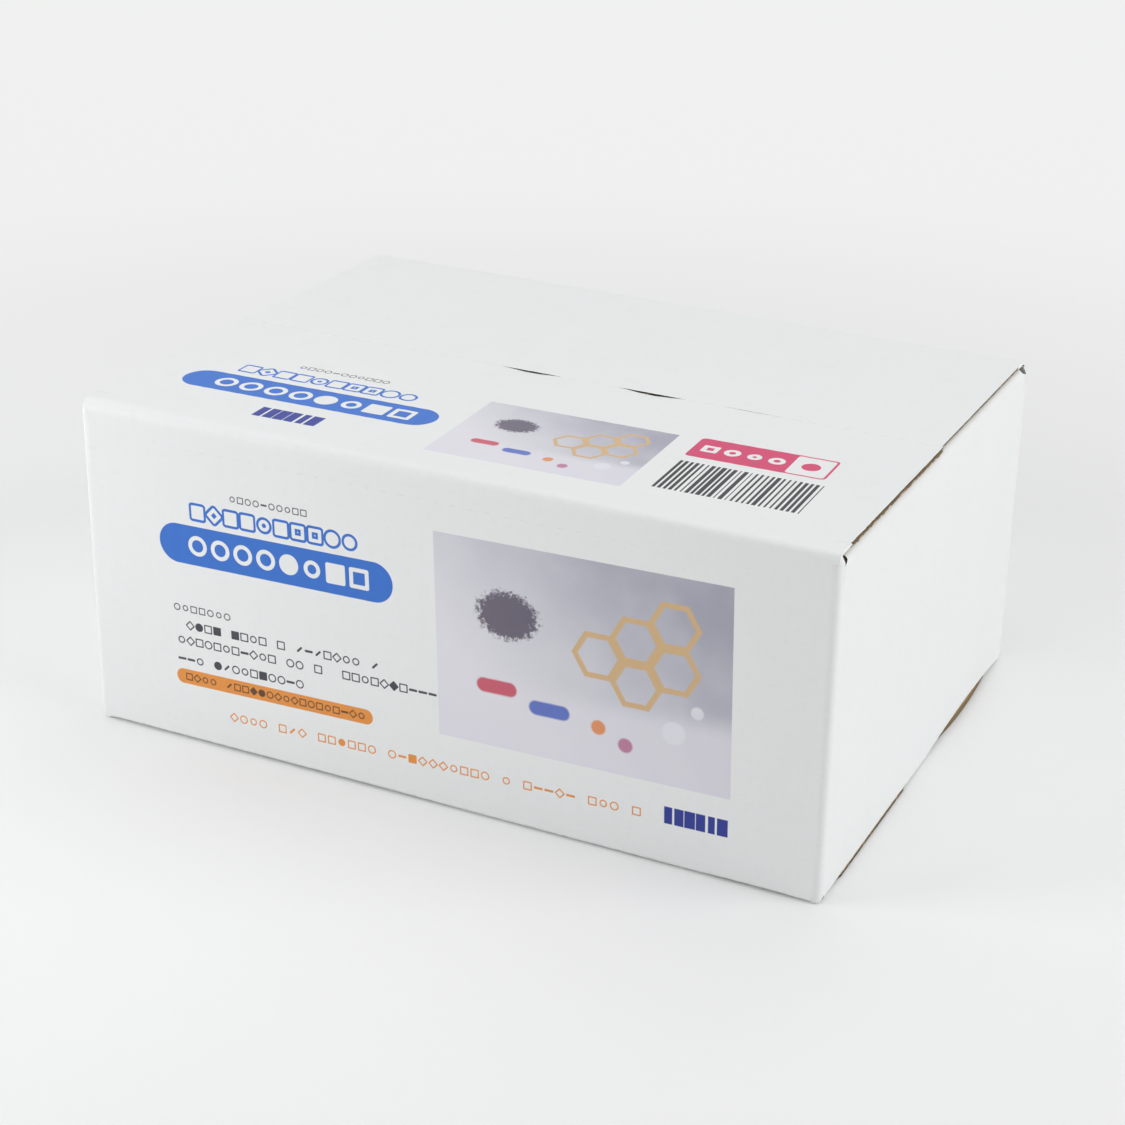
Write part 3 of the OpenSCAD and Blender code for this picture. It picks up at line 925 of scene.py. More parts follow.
WIDTH = (CAD_BOX[1].x - CAD_BOX[0].x) / MM
DEPTH = (CAD_BOX[1].y - CAD_BOX[0].y) / MM
HEIGHT = (CAD_BOX[1].z - CAD_BOX[0].z) / MM
FLAP_LOW, FLAP_HIGH = edges_mm("left_flap")
BOARD = FLAP_HIGH.z - FLAP_LOW.z
HALF_W, HALF_D = WIDTH / 2, DEPTH / 2
IN_X, IN_Y = HALF_W - BOARD, HALF_D - BOARD
INNER_TOP = FLAP_HIGH.z
LID = HEIGHT - BOARD
# how far down the wall the crease of an outer flap starts, and that of an inner flap
CREASE, INNER_CREASE = 7.0, 4.0
# where an outer flap and an inner flap take over from their creases
OUTER_START, INNER_START = HALF_D - CREASE - 2, IN_X - 5
# width of the finer mesh along the cut ends of an outer flap
STRIP = 12
# how far in from its cut end an outer flap is crushed
END_REACH = 8.0
# where the bend starts and ends along a crease, whose cuts go from 0 to 1
BEND_FROM, BEND_TO = 0.35, 0.65
# steps of the mesh from one flute to the next, in a liner and in the waved paper
LINER_STEPS, FLUTING_STEPS = 8, 12


def sizes_mm(name):
    """One of the board's sizes, in millimetres."""
    return getattr(bpy.context.scene.board_sizes, name) / MM


def board_materials(printed=None, name="white liner"):
    """Outer, inner and middle paper of one panel, and its cut edge."""
    inks = bpy.context.scene.carton_inks
    found = bpy.data.materials.get
    return (
        found(name) or white_board(name, printed),
        found("kraft liner") or kraft_paper("kraft liner", tuple(inks.kraft)),
        found("fluting paper") or kraft_paper("fluting paper", tuple(inks.medium)),
        found("cut edge") or cut_edge("cut edge", tuple(inks.kraft), tuple(inks.cut)),
    )


def quarter(turn, radius, roundness):
    """Point of a rounded corner. turn goes from 0 to a quarter circle, and roundness 2 is a circle."""
    power = 2 / roundness
    return radius * max(0.0, math.cos(turn)) ** power, radius * max(0.0, math.sin(turn)) ** power


def panel(piece, place, s0, s1, t_cuts, levels=None, inner_t=None, flutes=None):
    """One panel of corrugated board. place(s, t, w) takes s across the flutes, t along them and
    w up from the inner face. levels(s, t) gives the heights of its inner and outer face, and
    inner_t the cuts of its inner papers where they differ from those of the outer liner."""
    liner, medium, ripple = sizes_mm("liner"), sizes_mm("medium"), sizes_mm("ripple")
    flutes = flutes or max(1, round((s1 - s0) / sizes_mm("pitch")))
    pitch = (s1 - s0) / flutes
    levels = levels or (lambda s, t: (0.0, BOARD))
    inner_t = inner_t or t_cuts

    def wave(s):
        """1 on the crest of a flute and -1 between two flutes."""
        return math.cos(math.tau * (s - s0) / pitch)

    def outer_liner(s, t, k):
        high = levels(s, t)[1]
        return place(s, t, high - ripple * (0.5 - 0.5 * wave(s)) - (1 - k) * liner)

    def inner_liner(s, t, k):
        low = levels(s, t)[0]
        return place(s, t, low + ripple * (0.5 + 0.5 * wave(s)) + k * liner)

    def fluting(s, t, k):
        low, high = levels(s, t)
        reach = max(0.02, (high - low) / 2 - liner - medium / 2 - 0.01)
        return place(s, t, (low + high) / 2 + reach * wave(s) + (k - 0.5) * medium)

    cuts = spaced(s0, s1, flutes * LINER_STEPS)
    piece.add(slab(cuts, t_cuts, outer_liner, 0, 1, 3))
    piece.add(slab(cuts, inner_t, inner_liner, 1, 1, 3))
    piece.add(slab(spaced(s0, s1, flutes * FLUTING_STEPS), inner_t, fluting, 2, 2, 3))


def corner_fold(piece, side_x, side_y, low, high):
    """Quarter round that joins two walls, sharper on the left. It draws in at foot and top."""
    roundness = 3.4 if side_x < 0 else 2.3

    def place(s, t, k):
        drawn_in = 1 - ease(t, low - 0.4, low + 2.2) + ease(t, high - 2, high)
        radius = (BOARD if k else 0.4) - 0.9 * k * drawn_in
        a, b = quarter(s, radius, roundness)
        return side_x * (IN_X + b), side_y * (IN_Y + a), t

    heights = [low, low + 0.6, low + 1.2, low + 2.2, low + 8, (low + high) / 2]
    heights += [high - 2, high - 1, high - 0.5, high]
    piece.add(slab(spaced(0, math.pi / 2, 14), heights, place, 0, 1, 0))


def front_lift(x):
    """Gap between the front's foot and the floor. It is wider on the left and near the right end."""
    left = 0.55 * (1 - ease(x, -40, 20)) * ease(x, -126, -121)
    right = 0.45 * ease(x, 84, 104) * (1 - ease(x, 112, 124))
    return 0.12 + left + right


ARCH_START, ARCH_END, ARCH_RISE = 8, 88, 1.9


def arch(y):
    """Share of the arch under the rear half of the right wall."""
    if ARCH_START < y < ARCH_END:
        return math.sin(math.pi * (y - ARCH_START) / (ARCH_END - ARCH_START)) ** 0.75
    return 0.0


def side_foot(y):
    """Height of the right wall's foot above the floor. It is lower at the front corner and
    behind the middle, where the arch rises from it."""
    corner, middle = 1 - ease(y, -90, -74), ease(y, -30, 4)
    return 0.85 - 0.5 * middle - 0.25 * corner + ARCH_RISE * arch(y)


class MakeWalls(bpy.types.Operator):
    """Four walls of corrugated board with their folded corners and feet"""

    bl_idname = "chemistry_case.make_walls"
    bl_label = "Walls"

    def execute(self, context):
        for name, side in (("front_wall", -1), ("rear_wall", 1)):
            self.long_wall(name, side)
        for name, side in (("left_wall", -1), ("right_wall", 1)):
            self.short_wall(name, side)
        return {"FINISHED"}

    def long_wall(self, name, side):
        printed = ("printed front liner", front_print) if side < 0 else ("white liner", None)
        piece = Piece(name, *board_materials(printed[1], printed[0]))
        top = LID - CREASE

        def place(s, t, w):
            if t >= BOARD:
                return s, side * (IN_Y + w), t
            # below the fold, t goes on along the arc of the outer face
            turn = (BOARD - t) / BOARD
            a, b = quarter(turn, w, 2.6)
            return s, side * (IN_Y + a), BOARD - b + front_lift(s) * math.sin(turn) ** 2 * w / BOARD

        foot = spaced(BOARD - BOARD * math.pi / 2, BOARD, 10)
        outer_t = foot + [12, 30, 60, 90, top]
        panel(piece, place, -IN_X, IN_X, outer_t, inner_t=[BOARD + 0.1, 30, 60, 90, top])
        for end in (-1, 1):
            corner_fold(piece, end, side, 0.35, INNER_TOP + 1.5)
        piece.finish("carton", [name.replace("wall", "panel")], "white_board")

    def short_wall(self, name, side):
        piece = Piece(name, *board_materials())
        top = FLAP_LOW.z - INNER_CREASE

        def place(s, t, w):
            # t is the share of the wall's height, and goes from -1 to 0 round its foot
            foot = (side_foot(s) if side > 0 else 0.9) + BOARD
            if t >= 0:
                return side * (IN_X + w), s, foot + (top - foot) * t
            a, b = quarter(-t * math.pi / 2, w, 4.5)
            return side * (IN_X + a), s, foot - b

        outer_t = spaced(-1, 0, 9) + [0.1, 0.3, 0.6, 0.8, 1]
        panel(piece, place, -IN_Y, IN_Y, outer_t, inner_t=[0.005, 0.3, 0.6, 0.8, 1])
        piece.finish("carton", [name.replace("wall", "panel")], "white_board")


def crease_cuts(below, round_bend, beyond):
    """Cuts along a crease, by the number of steps before, in and after its bend."""
    cuts = spaced(0, BEND_FROM, below) + spaced(BEND_FROM, BEND_TO, round_bend)[1:]
    return cuts + spaced(BEND_TO, 1, beyond)[1:]


# openings of the seam: start, end and share of the widest opening
GAPES = (-27, -4, 0.8), (16, 41, 1.0), (52, 75, 0.12)


def seam_gape(x):
    """Share of the widest opening that the seam has at x."""
    return sum(
        share * math.sin(math.pi * (x - start) / (end - start)) ** 1.4
        for start, end, share in GAPES
        if start < x < end
    )


class MakeTopFlaps(bpy.types.Operator):
    """Two outer and two inner flaps of the top, with the creases they turn on"""

    bl_idname = "chemistry_case.make_top_flaps"
    bl_label = "Top flaps"

    def execute(self, context):
        for name, side in (("front_flap", -1), ("rear_flap", 1)):
            self.outer_flap(name, side)
            self.outer_crease(name, side)
        for name, side in (("left_flap", -1), ("right_flap", 1)):
            self.inner_flap(name, side)
            self.inner_crease(name, side)
        return {"FINISHED"}

    def materials(self, side):
        if side < 0:
            return board_materials(flap_print, "printed flap liner")
        return board_materials()

    def end_of(self, side):
        """Half width of an outer flap."""
        return HALF_W - (0.7 if side < 0 else 1.2)

    def outer_flap(self, name, side):
        piece = Piece(name + "_board", *self.materials(side))
        end = self.end_of(side)
        start = OUTER_START
        front = side < 0
        # the rear flap's ends are crushed flatter and torn less, and its edge runs straighter
        crush = bpy.context.scene.board_sizes.end_crush * (1.0 if front else 1.75)
        tear, nick = (0.45, 0.35) if front else (0.06, 0.12)
        sink, gape = (0.5, sizes_mm("seam_gape")) if front else (0.0, 0.15 * sizes_mm("seam_gape"))
        chance = random.Random(5)
        bits = [chance.uniform(-1, 1) for _ in range(200)]

        def rough(y, seed):
            """Uneven line along a cut end, from -1 to 1."""
            at = (y + 100) * 0.9 + seed
            step = int(at)
            return bits[step % 200] * (1 - at + step) + bits[(step + 1) % 200] * (at - step)

        def levels(s, t):
            y = start * (1 - t)
            lost = crush * BOARD * ease(abs(s), HALF_W - END_REACH, HALF_W - 2)
            torn = tear * rough(y, 0) * ease(abs(s), HALF_W - 4, HALF_W - 1)
            sunk = sink * seam_gape(s) * ease(t, 0.93, 0.995)
            return lost + torn, BOARD - sunk - 0.1 * ease(t, 0.985, 1)

        def place(s, t, w):
            free = 0.01 + gape * seam_gape(s)
            y = start + (free - start) * t
            depth = nick * ease(abs(s), end - 1.5, end) * (1 - 0.6 * w / BOARD)
            back = depth * (0.5 + 0.5 * rough(y, 37 * w))
            return s - math.copysign(back, s), side * y, LID + w

        coarse = [0, 0.1, 0.4, 0.7, 0.86, 0.93, 0.95, 0.965, 0.98, 0.99, 1]
        fine = spaced(0, 0.93, 90) + coarse[6:]
        panel(piece, place, -end, -end + STRIP, fine, levels, flutes=2)
        panel(piece, place, -end + STRIP, end - STRIP, coarse, levels)
        panel(piece, place, end - STRIP, end, fine, levels, flutes=2)
        piece.finish(name, [name], "white_board")

    def outer_crease(self, name, side):
        piece = Piece(name + "_crease", *self.materials(side))
        low, reach = LID - CREASE, CREASE + 2
        end = self.end_of(side)
        flutes = round(2 * end / sizes_mm("pitch"))
        pitch = 2 * end / flutes
        left, right, ripples = sizes_mm("fold_left"), sizes_mm("fold_right"), sizes_mm("ripple")

        def place(s, t, k):
            radius = left + (right - left) * ease(s, -HALF_W, 30)
            ripple = ripples * (0.5 - 0.5 * math.cos(math.tau * (s + end) / pitch))
            thin = ease(abs(s), end - 9, end - 1)
            low_z, high_y = HEIGHT, HALF_D
            if not k:
                # the inner face comes up to the outer one where the ends are crushed
                radius = 0.5 + (radius - 0.5) * 0.75 * thin
                low_z = LID - 0.04 + 2.1 * thin
                high_y = IN_Y + 2.1 * thin
                ripple = 0.0
            # the inner face reaches a little further under the flap
            tuck = 0.0 if k else 1.2
            rise, run = low_z - radius - low, high_y - radius - (HALF_D - reach) + tuck
            if t <= BEND_FROM:
                y, z, turn = high_y, low + rise * t / BEND_FROM, 0.0
            elif t >= BEND_TO:
                y, z, turn = high_y - radius - run * (t - BEND_TO) / (1 - BEND_TO), low_z, math.pi / 2
            else:
                turn = (t - BEND_FROM) / (BEND_TO - BEND_FROM) * math.pi / 2
                a, b = quarter(turn, radius, 2.6)
                y, z = high_y - radius + a, low_z - radius + b
            # below it is as wide as the wall between its corners, and above as wide as the flap
            wide = IN_X + (end - IN_X) * ease(z + (HALF_D - y), LID - 0.9, LID + 0.2)
            return s * wide / end, side * (y - ripple * math.cos(turn)), z - ripple * math.sin(turn)

        t_cuts = crease_cuts(4, 14, 4)
        piece.add(slab(spaced(-end, end, flutes * LINER_STEPS), t_cuts, place, 0, 1, 0))
        made = piece.finish(None, (), "white_board", sharp=50)
        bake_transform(made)

    def inner_flap(self, name, side):
        piece = Piece(name + "_board", *board_materials())
        low, high = edges_mm(name)
        tip = min(abs(low.x), abs(high.x))

        def place(s, t, w):
            return side * t, s, low.z + w

        cuts = [tip, tip + 0.8, tip + 2, tip + 4, tip + 8, (tip + INNER_START) / 2, INNER_START]
        panel(piece, place, low.y, high.y, cuts)
        piece.finish(name, [name], "white_board")

    def inner_crease(self, name, side):
        piece = Piece(name + "_crease", *board_materials())
        low, high = edges_mm(name)
        foot, start = low.z - INNER_CREASE, INNER_START

        def place(s, t, k):
            half = low.y + (high.y - low.y) * s
            # the crease swells a little higher under the rear flap
            raised = 0.95 + 0.6 * ease(half, -6, 6)
            if k:
                top, wide, radius = INNER_TOP + raised, HALF_W, BOARD
            else:
                top, wide, radius = low.z, IN_X, 0.4
            if t <= BEND_FROM:
                x, z = wide, foot + (top - radius - foot) * t / BEND_FROM
            elif t >= BEND_TO:
                part = (t - BEND_TO) / (1 - BEND_TO)
                x = wide - radius - (wide - radius - start) * part
                z = top - (raised * ease(part, 0, 0.5) if k else 0)
            else:
                turn = (t - BEND_FROM) / (BEND_TO - BEND_FROM) * math.pi / 2
                x = wide - radius + radius * math.cos(turn)
                z = top - radius + radius * math.sin(turn)
            # it is as wide as the wall below the bend and as wide as the flap above it
            spread = IN_Y - 0.05 - (IN_Y - 0.05 - high.y) * ease(t, 0.37, 0.47)
            return side * x, half * spread / high.y, z

        piece.add(slab(spaced(0, 1, 60), crease_cuts(4, 12, 6), place, 0, 1, 3))
        made = piece.finish(None, (), "white_board", sharp=50)
        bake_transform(made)


class MakeBottom(bpy.types.Operator):
    """Four flaps of the bottom, the tab that joins the blank, and the glue"""

    bl_idname = "chemistry_case.make_bottom"
    bl_label = "Bottom, tab and glue"

    def execute(self, context):
        for name, side in (("bottom_front_flap", -1), ("bottom_rear_flap", 1)):
            self.outer_flap(name, side)
        for name, side in (("bottom_left_flap", -1), ("bottom_right_flap", 1)):
            self.inner_flap(name, side)
        self.tab()
        glue = hot_melt()
        for node in ("joint_glue", "bottom_glue"):
            single(node + "_beads", glue, copied(node, 0.1), node, "hot_melt_glue")
        return {"FINISHED"}

    def outer_flap(self, name, side):
        """An outer flap. Its right end shows under the foot of the right wall."""
        piece = Piece(name + "_board", *board_materials())
        end = IN_X + 1.8

        def shown(s, t):
            """Share to which the end comes out as far as the face of the right wall."""
            if s < 0:
                return 0.0
            return arch(t) if side > 0 else 0.92 * ease(t, 6, 16) * (1 - ease(t, 74, 86))

        def place(s, t, w):
            # an end that doesn't show stops just inside the wall
            back = (2.0 - 3.1 * shown(s, t)) * ease(abs(s), end - 8, end)
            lift = front_lift(s) * ease(t, IN_Y - 16, IN_Y) * w / BOARD
            return s - back * math.copysign(1, s), side * t, BOARD - w + lift

        def levels(s, t):
            # the right end of the front flap is crushed the most
            lost = 0.72 if side < 0 and s > 0 else 0.3 if shown(s, t) else 0.45
            return lost * BOARD * ease(abs(s), end - 8, end - 2), BOARD

        cuts = [0.3, 1, 4, 12] + spaced(14, 88, 24) + [IN_Y]
        coarse = [0.3, 1, 4, 6, 9, 12, 16, 50, IN_Y - 16, IN_Y - 11, IN_Y - 7, IN_Y - 4, IN_Y]
        panel(piece, place, -end, -end + STRIP, coarse, levels, flutes=2)
        panel(piece, place, -end + STRIP, end - STRIP, coarse, levels)
        panel(piece, place, end - STRIP, end, cuts if side > 0 else coarse, levels, flutes=2)
        piece.finish("carton", [name], "white_board")

    def inner_flap(self, name, side):
        low, high = edges_mm(name)
        piece = Piece(name + "_board", *board_materials())
        tip = min(abs(low.x), abs(high.x))

        def place(s, t, w):
            return side * t, s, high.z - w

        panel(piece, place, low.y, high.y, [tip, tip + 1, tip + 3, tip + 8, IN_X - 20, IN_X - 1])
        piece.finish("carton", [name], "white_board")

    def tab(self):
        low, high = edges_mm("joint_tab")
        piece = Piece("joint_tab_board", *board_materials())
        # how much shorter its free edge is at each end
        taper = 10.0

        def place(s, t, w):
            cut = taper * (1 - (s - low.y) / (high.y - low.y))
            return low.x + BOARD - w, s, low.z + cut + (high.z - low.z - 2 * cut) * t

        panel(piece, place, low.y, high.y, [0, 0.01, 0.04, 0.5, 0.96, 0.99, 1])
        piece.finish("carton", ["joint_tab"], "white_board")


def hot_melt():
    """Amber glue, a little see-through."""

    def build(g):
        rough = g.group(mottle_group(), Place=g.place(), Blotch_Scale=150.0, Amount=0.3)
        return {
            "Base Color": g.mix(1.0, screen_colour(222, 190, 120), rough["Shade"], "MULTIPLY"),
            "Normal": g.bump(rough["Height"], 0.0001, 0.4),
        }

    return material("hot melt glue", build, roughness=0.3, transmission_weight=0.35)


# Contents


def looks():
    """The contents' sizes and colours as the scene holds them."""
    return bpy.context.scene.contents_looks


def mottled(name, tint, amount=0.1, rough=0.4, depth=0.00002, shade=0, **fixed):
    """A plain finish with soft blotches in colour, gloss and height. Where it is clear, shade is
    the share of the light that it keeps from what lies behind it."""

    def build(g):
        uneven = g.group(mottle_group(), Place=g.place(), Amount=amount)
        fed = {
            "Base Color": g.mix(1.0, tint, uneven["Shade"], "MULTIPLY"),
            "Roughness": g.times_plus(uneven["Height"], 0.12, rough),
            "Normal": g.bump(uneven["Height"], depth, 0.4),
        }
        if shade:
            path = g.node("ShaderNodeLightPath")
            lit = g.math("MAXIMUM", path.outputs["Is Shadow Ray"], path.outputs["Is Diffuse Ray"])
            fed["Alpha"] = g.times_plus(lit, shade - 1, 1.0)
        return fed

    return bpy.data.materials.get(name) or material(name, build, **fixed)


def clear_glass():
    """Lab glass, hardly tinted."""
    return mottled(
        "clear glass",
        (0.955, 0.985, 0.975),
        amount=0.02,
        rough=-0.03,
        depth=0.000002,
        shade=0.12,
        transmission_weight=1.0,
        ior=1.47,
    )


def milky_plastic():
    """Soft polyethylene that lets light through."""
    return mottled(
        "milky plastic",
        (0.86, 0.88, 0.87),
        amount=0.06,
        rough=0.26,
        shade=0.5,
        transmission_weight=0.55,
        ior=1.5,
    )


def white_enamel():
    return mottled("white enamel", screen_colour(240, 240, 236), 0.05)


def steel_wire():
    return mottled("steel wire", (0.62, 0.63, 0.64), 0.2, rough=0.2, metallic=1.0)


def printed_sheet(g, tint, uneven, rough):
    """What feeds the shader of a printed sheet with soft blotches in colour and gloss."""
    return {
        "Base Color": g.mix(1.0, tint, uneven["Shade"], "MULTIPLY"),
        "Roughness": g.times_plus(uneven["Height"], 0.2, rough),
    }


def wood(name, tint, turn):
    """Planed wood. turn brings the grain's direction onto X."""

    def build(g):
        grain = g.group(grain_group(), Place=g.moved(g.place(), turn=turn), Rings=44.0)
        dark = tuple(c * 0.58 for c in tint)
        ground = g.mix(g.times(grain["Line"], 0.42), tint, dark)
        ground = g.mix(g.times(grain["Pore"], 0.35), ground, dark)
        return {
            "Base Color": ground,
            "Roughness": g.times_plus(grain["Line"], -0.12, 0.58),
            "Normal": g.bump(g.minus(1.0, grain["Pore"]), 0.00006, 0.5),
        }

    return bpy.data.materials.get(name) or material(name, build)


def band(start, end, low, high, radius, thickness, place, index=0):
    """A thin strip on a round thing, between two angles and two heights."""

    def around(s, t, k):
        reach = radius + thickness * k
        return reach * math.cos(s), reach * math.sin(s), t

    cuts = spaced(start, end, max(2, round(abs(end - start) * 8)))
    bm = slab(cuts, [low, high], around, index, index, index)
    bmesh.ops.transform(bm, matrix=place, verts=bm.verts[:])
    return bm


def folded_sheet(path, thickness, s_cuts, place):
    """A sheet that follows a path of points across its folds. place(s, a, b) gives the point in
    millimetres for a place s along the folds and a path point (a, b)."""
    sides = ([], [])
    for k, (a, b) in enumerate(path):
        before, after = path[max(0, k - 1)], path[min(len(path) - 1, k + 1)]
        way = Vector((after[0] - before[0], after[1] - before[1])).normalized()
        for side, half in ((0, -thickness / 2), (1, thickness / 2)):
            sides[side].append((a + way.y * half, b - way.x * half))
    return slab(s_cuts, range(len(path)), lambda s, t, k: place(s, *sides[k][t]), 0, 0, 0)


def bend(a, b, radius, start, end, steps=6):
    """Points along a bend of a folded sheet, angles in degrees."""
    turns = [math.radians(start + (end - start) * k / steps) for k in range(steps + 1)]
    return [(a + radius * math.cos(t), b + radius * math.sin(t)) for t in turns]


class MakeRack(bpy.types.Operator):
    """Test tube rack of pale wood with six drying pegs, laid on its back"""

    bl_idname = "chemistry_case.make_rack"
    bl_label = "Rack"

    def execute(self, context):
        edge = looks().edge / MM
        tint = tuple(looks().wood)
        along_x = wood("pale wood along x", tint, (0, 0, 0))
        along_y = wood("pale wood along y", tint, (0, 0, math.radians(-90)))
        for node, made_of in (
            ("rack_base", along_x),
            ("rack_shelf", along_x),
            ("rack_left_post", along_y),
            ("rack_right_post", along_y),
        ):
            single(node + "_board", made_of, copied(node, edge), node, "pale_wood")
        peg_wood = wood("peg wood", tuple(looks().peg), (0, 0, math.radians(-90)))
        for number in range(1, 7):
            node = f"rack_peg_{number}"
            low, high = edges_mm(node)
            radius, long = (high.x - low.x) / 2, high.y - low.y
            foot = Vector(((low.x + high.x) / 2, high.y, (low.z + high.z) / 2))
            place = Matrix.Translation(foot * MM) @ Matrix.Rotation(math.radians(90), 4, "X")
            profile = [(0, 0), (radius - 0.5, 0), (radius, 0.5), (radius, 12), (radius, 30)]
            profile += arc(0, long - radius, radius, 0, 90, 8)
            single(node + "_turned", peg_wood, lathe(profile, 32, place), node, "peg_wood")
        return {"FINISHED"}


class MakeTubes(bpy.types.Operator):
    """Six test tubes with beaded mouths"""

    bl_idname = "chemistry_case.make_tubes"
    bl_label = "Test tubes"

    def execute(self, context):
        glass = clear_glass()
        for number in range(1, 7):
            node = f"test_tube_{number}"
            low, high = edges_mm(node)
            lip = (high.y - low.y) / 2
            long, out, bore = high.x - low.x, lip - 0.75, lip - 1.95
            # outside from the round end to the beaded mouth, then back along the bore
            profile = arc(0, long - out, out, 90, 0, 10)
            profile += [(out, 60), (out, 4)] + arc(out - 0.25, 1.5, 1.0, 35, -90, 7)
            profile += arc(bore + 0.5, 0.9, 0.5, -110, -180, 4) + [(bore, 5), (bore, 60)]
            profile += arc(0, long - out, bore, 0, 90, 10)
            tube = lathe(profile, 44, lying(low, high))
            single(node + "_glass", glass, tube, node, "clear_glass")
        return {"FINISHED"}


class MakeBeaker(bpy.types.Operator):
    """Beaker with a pouring lip and white level marks"""

    bl_idname = "chemistry_case.make_beaker"
    bl_label = "Beaker"

    def execute(self, context):
        low, high = edges_mm("beaker")
        rim = (high.x - low.x) / 2
        tall, out, bore = high.z - low.z, rim - 2, rim - 3.6
        place = Matrix.Translation(Vector((0, low.y + rim, low.z)) * MM)
        # outside from the middle of the foot up to the rim, then down the inside
        profile = [(0, 0.9), (out - 12, 0.8), (out - 8, 0.1)] + arc(out - 5, 5, 5, -90, 0, 8)
        profile += [(out, 30), (out, 60), (out, 72), (out, 78), (out + 0.1, 82), (out + 0.5, 85)]
        profile += [(out + 1.1, 87)] + arc(rim - 0.9, tall - 0.95, 0.9, -30, 150, 8)
        profile += [(bore + 0.9, 86.5), (bore + 0.3, 84.5), (bore, 82), (bore, 78), (bore, 60)]
        profile += [(bore, 30)] + arc(bore - 4.4, 6, 4.4, 0, -90, 8) + [(0, 2.2)]
        glass = lathe(profile, 144, Matrix())
        for v in glass.verts:
            x, y, z = v.co / MM
            turn, rise = math.atan2(x, y), ease(z, 70, tall)
            lip = 6.0 * math.exp(-((turn / 0.17) ** 2)) * rise
            pinch = 0.9 * math.exp(-(((abs(turn) - 0.42) / 0.13) ** 2)) * rise
            if math.hypot(x, y) > 10:
                v.co.xy *= 1 + (lip - pinch) / math.hypot(x, y)
        bmesh.ops.transform(glass, matrix=place, verts=glass.verts[:])
        piece = Piece("beaker_glass", clear_glass(), white_enamel())
        piece.add(glass)
        # a mark at every 25 ml, or 25000 cubic millimetres, every second one twice as long
        for step in range(1, 9):
            height = 2 + step * 25000 / (math.pi * bore * bore)
            wide = 0.24 if step % 2 == 0 else 0.12
            piece.add(band(-1.0, -1.0 + wide, height, height + 0.5, out + 0.03, 0.12, place, 1))
        piece.add(band(-1.04, -1.015, 17, 68, out + 0.03, 0.12, place, 1))
        piece.add(band(-2.2, -1.75, 36, 52, out + 0.03, 0.12, place, 1))
        piece.finish("carton", ["beaker"], "clear_glass", sharp=60)
        return {"FINISHED"}


class MakeRods(bpy.types.Operator):
    """Stirring rod, and thermometer with its red column and marks"""

    bl_idname = "chemistry_case.make_rods"
    bl_label = "Rods"

    def execute(self, context):
        for node in ("stirring_rod", "thermometer"):
            low, high = edges_mm(node)
            radius, long = (high.y - low.y) / 2, high.x - low.x
            profile = arc(0, radius, radius, -90, 0, 8) + [(radius, 60), (radius, 120)]
            profile += arc(0, long - radius, radius, 0, 90, 8)
            place = lying(low, high)
            piece = Piece(node + "_glass", clear_glass(), white_enamel(), self.ink())
            piece.add(lathe(profile, 32, place))
            if node == "thermometer":
                self.marks(piece, radius, place)
            piece.finish("carton", [node], "clear_glass")
        low, high = edges_mm("thermometer_column")
        bulb, long = (high.y - low.y) / 2, high.x - low.x
        profile = arc(0, bulb, bulb, -90, 0, 6) + [(bulb, 10.5), (0.9, 12), (0.5, 13)]
        profile += [(0.5, 60), (0.5, long - 0.3), (0, long)]
        red = mottled("red spirit", screen_colour(196, 24, 30), rough=0.15)
        spirit = lathe(profile, 24, lying(low, high))
        single("thermometer_spirit", red, spirit, "thermometer_column", "red_spirit")
        return {"FINISHED"}

    def ink(self):
        return mottled("black ink", screen_colour(34, 34, 38), 0.1)

    def marks(self, piece, radius, place):
        """Cavity of the red column, white back and 61 black marks, every fifth one longer."""
        cavity = arc(0, 6.65, 1.68, -90, 0, 6) + [(1.68, 15.6), (0.55, 18)]
        cavity += [(0.55, 60), (0.55, 125), (0, 125.2)]
        hollow = lathe(cavity, 24, place)
        bmesh.ops.reverse_faces(hollow, faces=hollow.faces[:])
        piece.add(hollow)
        piece.add(band(-0.85, 0.85, 70, 196, radius, 0.06, place, 1))
        for step in range(61):
            at = 89.3 + 1.7 * step
            half = 0.62 if step % 5 == 0 else 0.34
            piece.add(band(math.pi - half, math.pi + half, at, at + 0.22, radius, 0.04, place, 2))


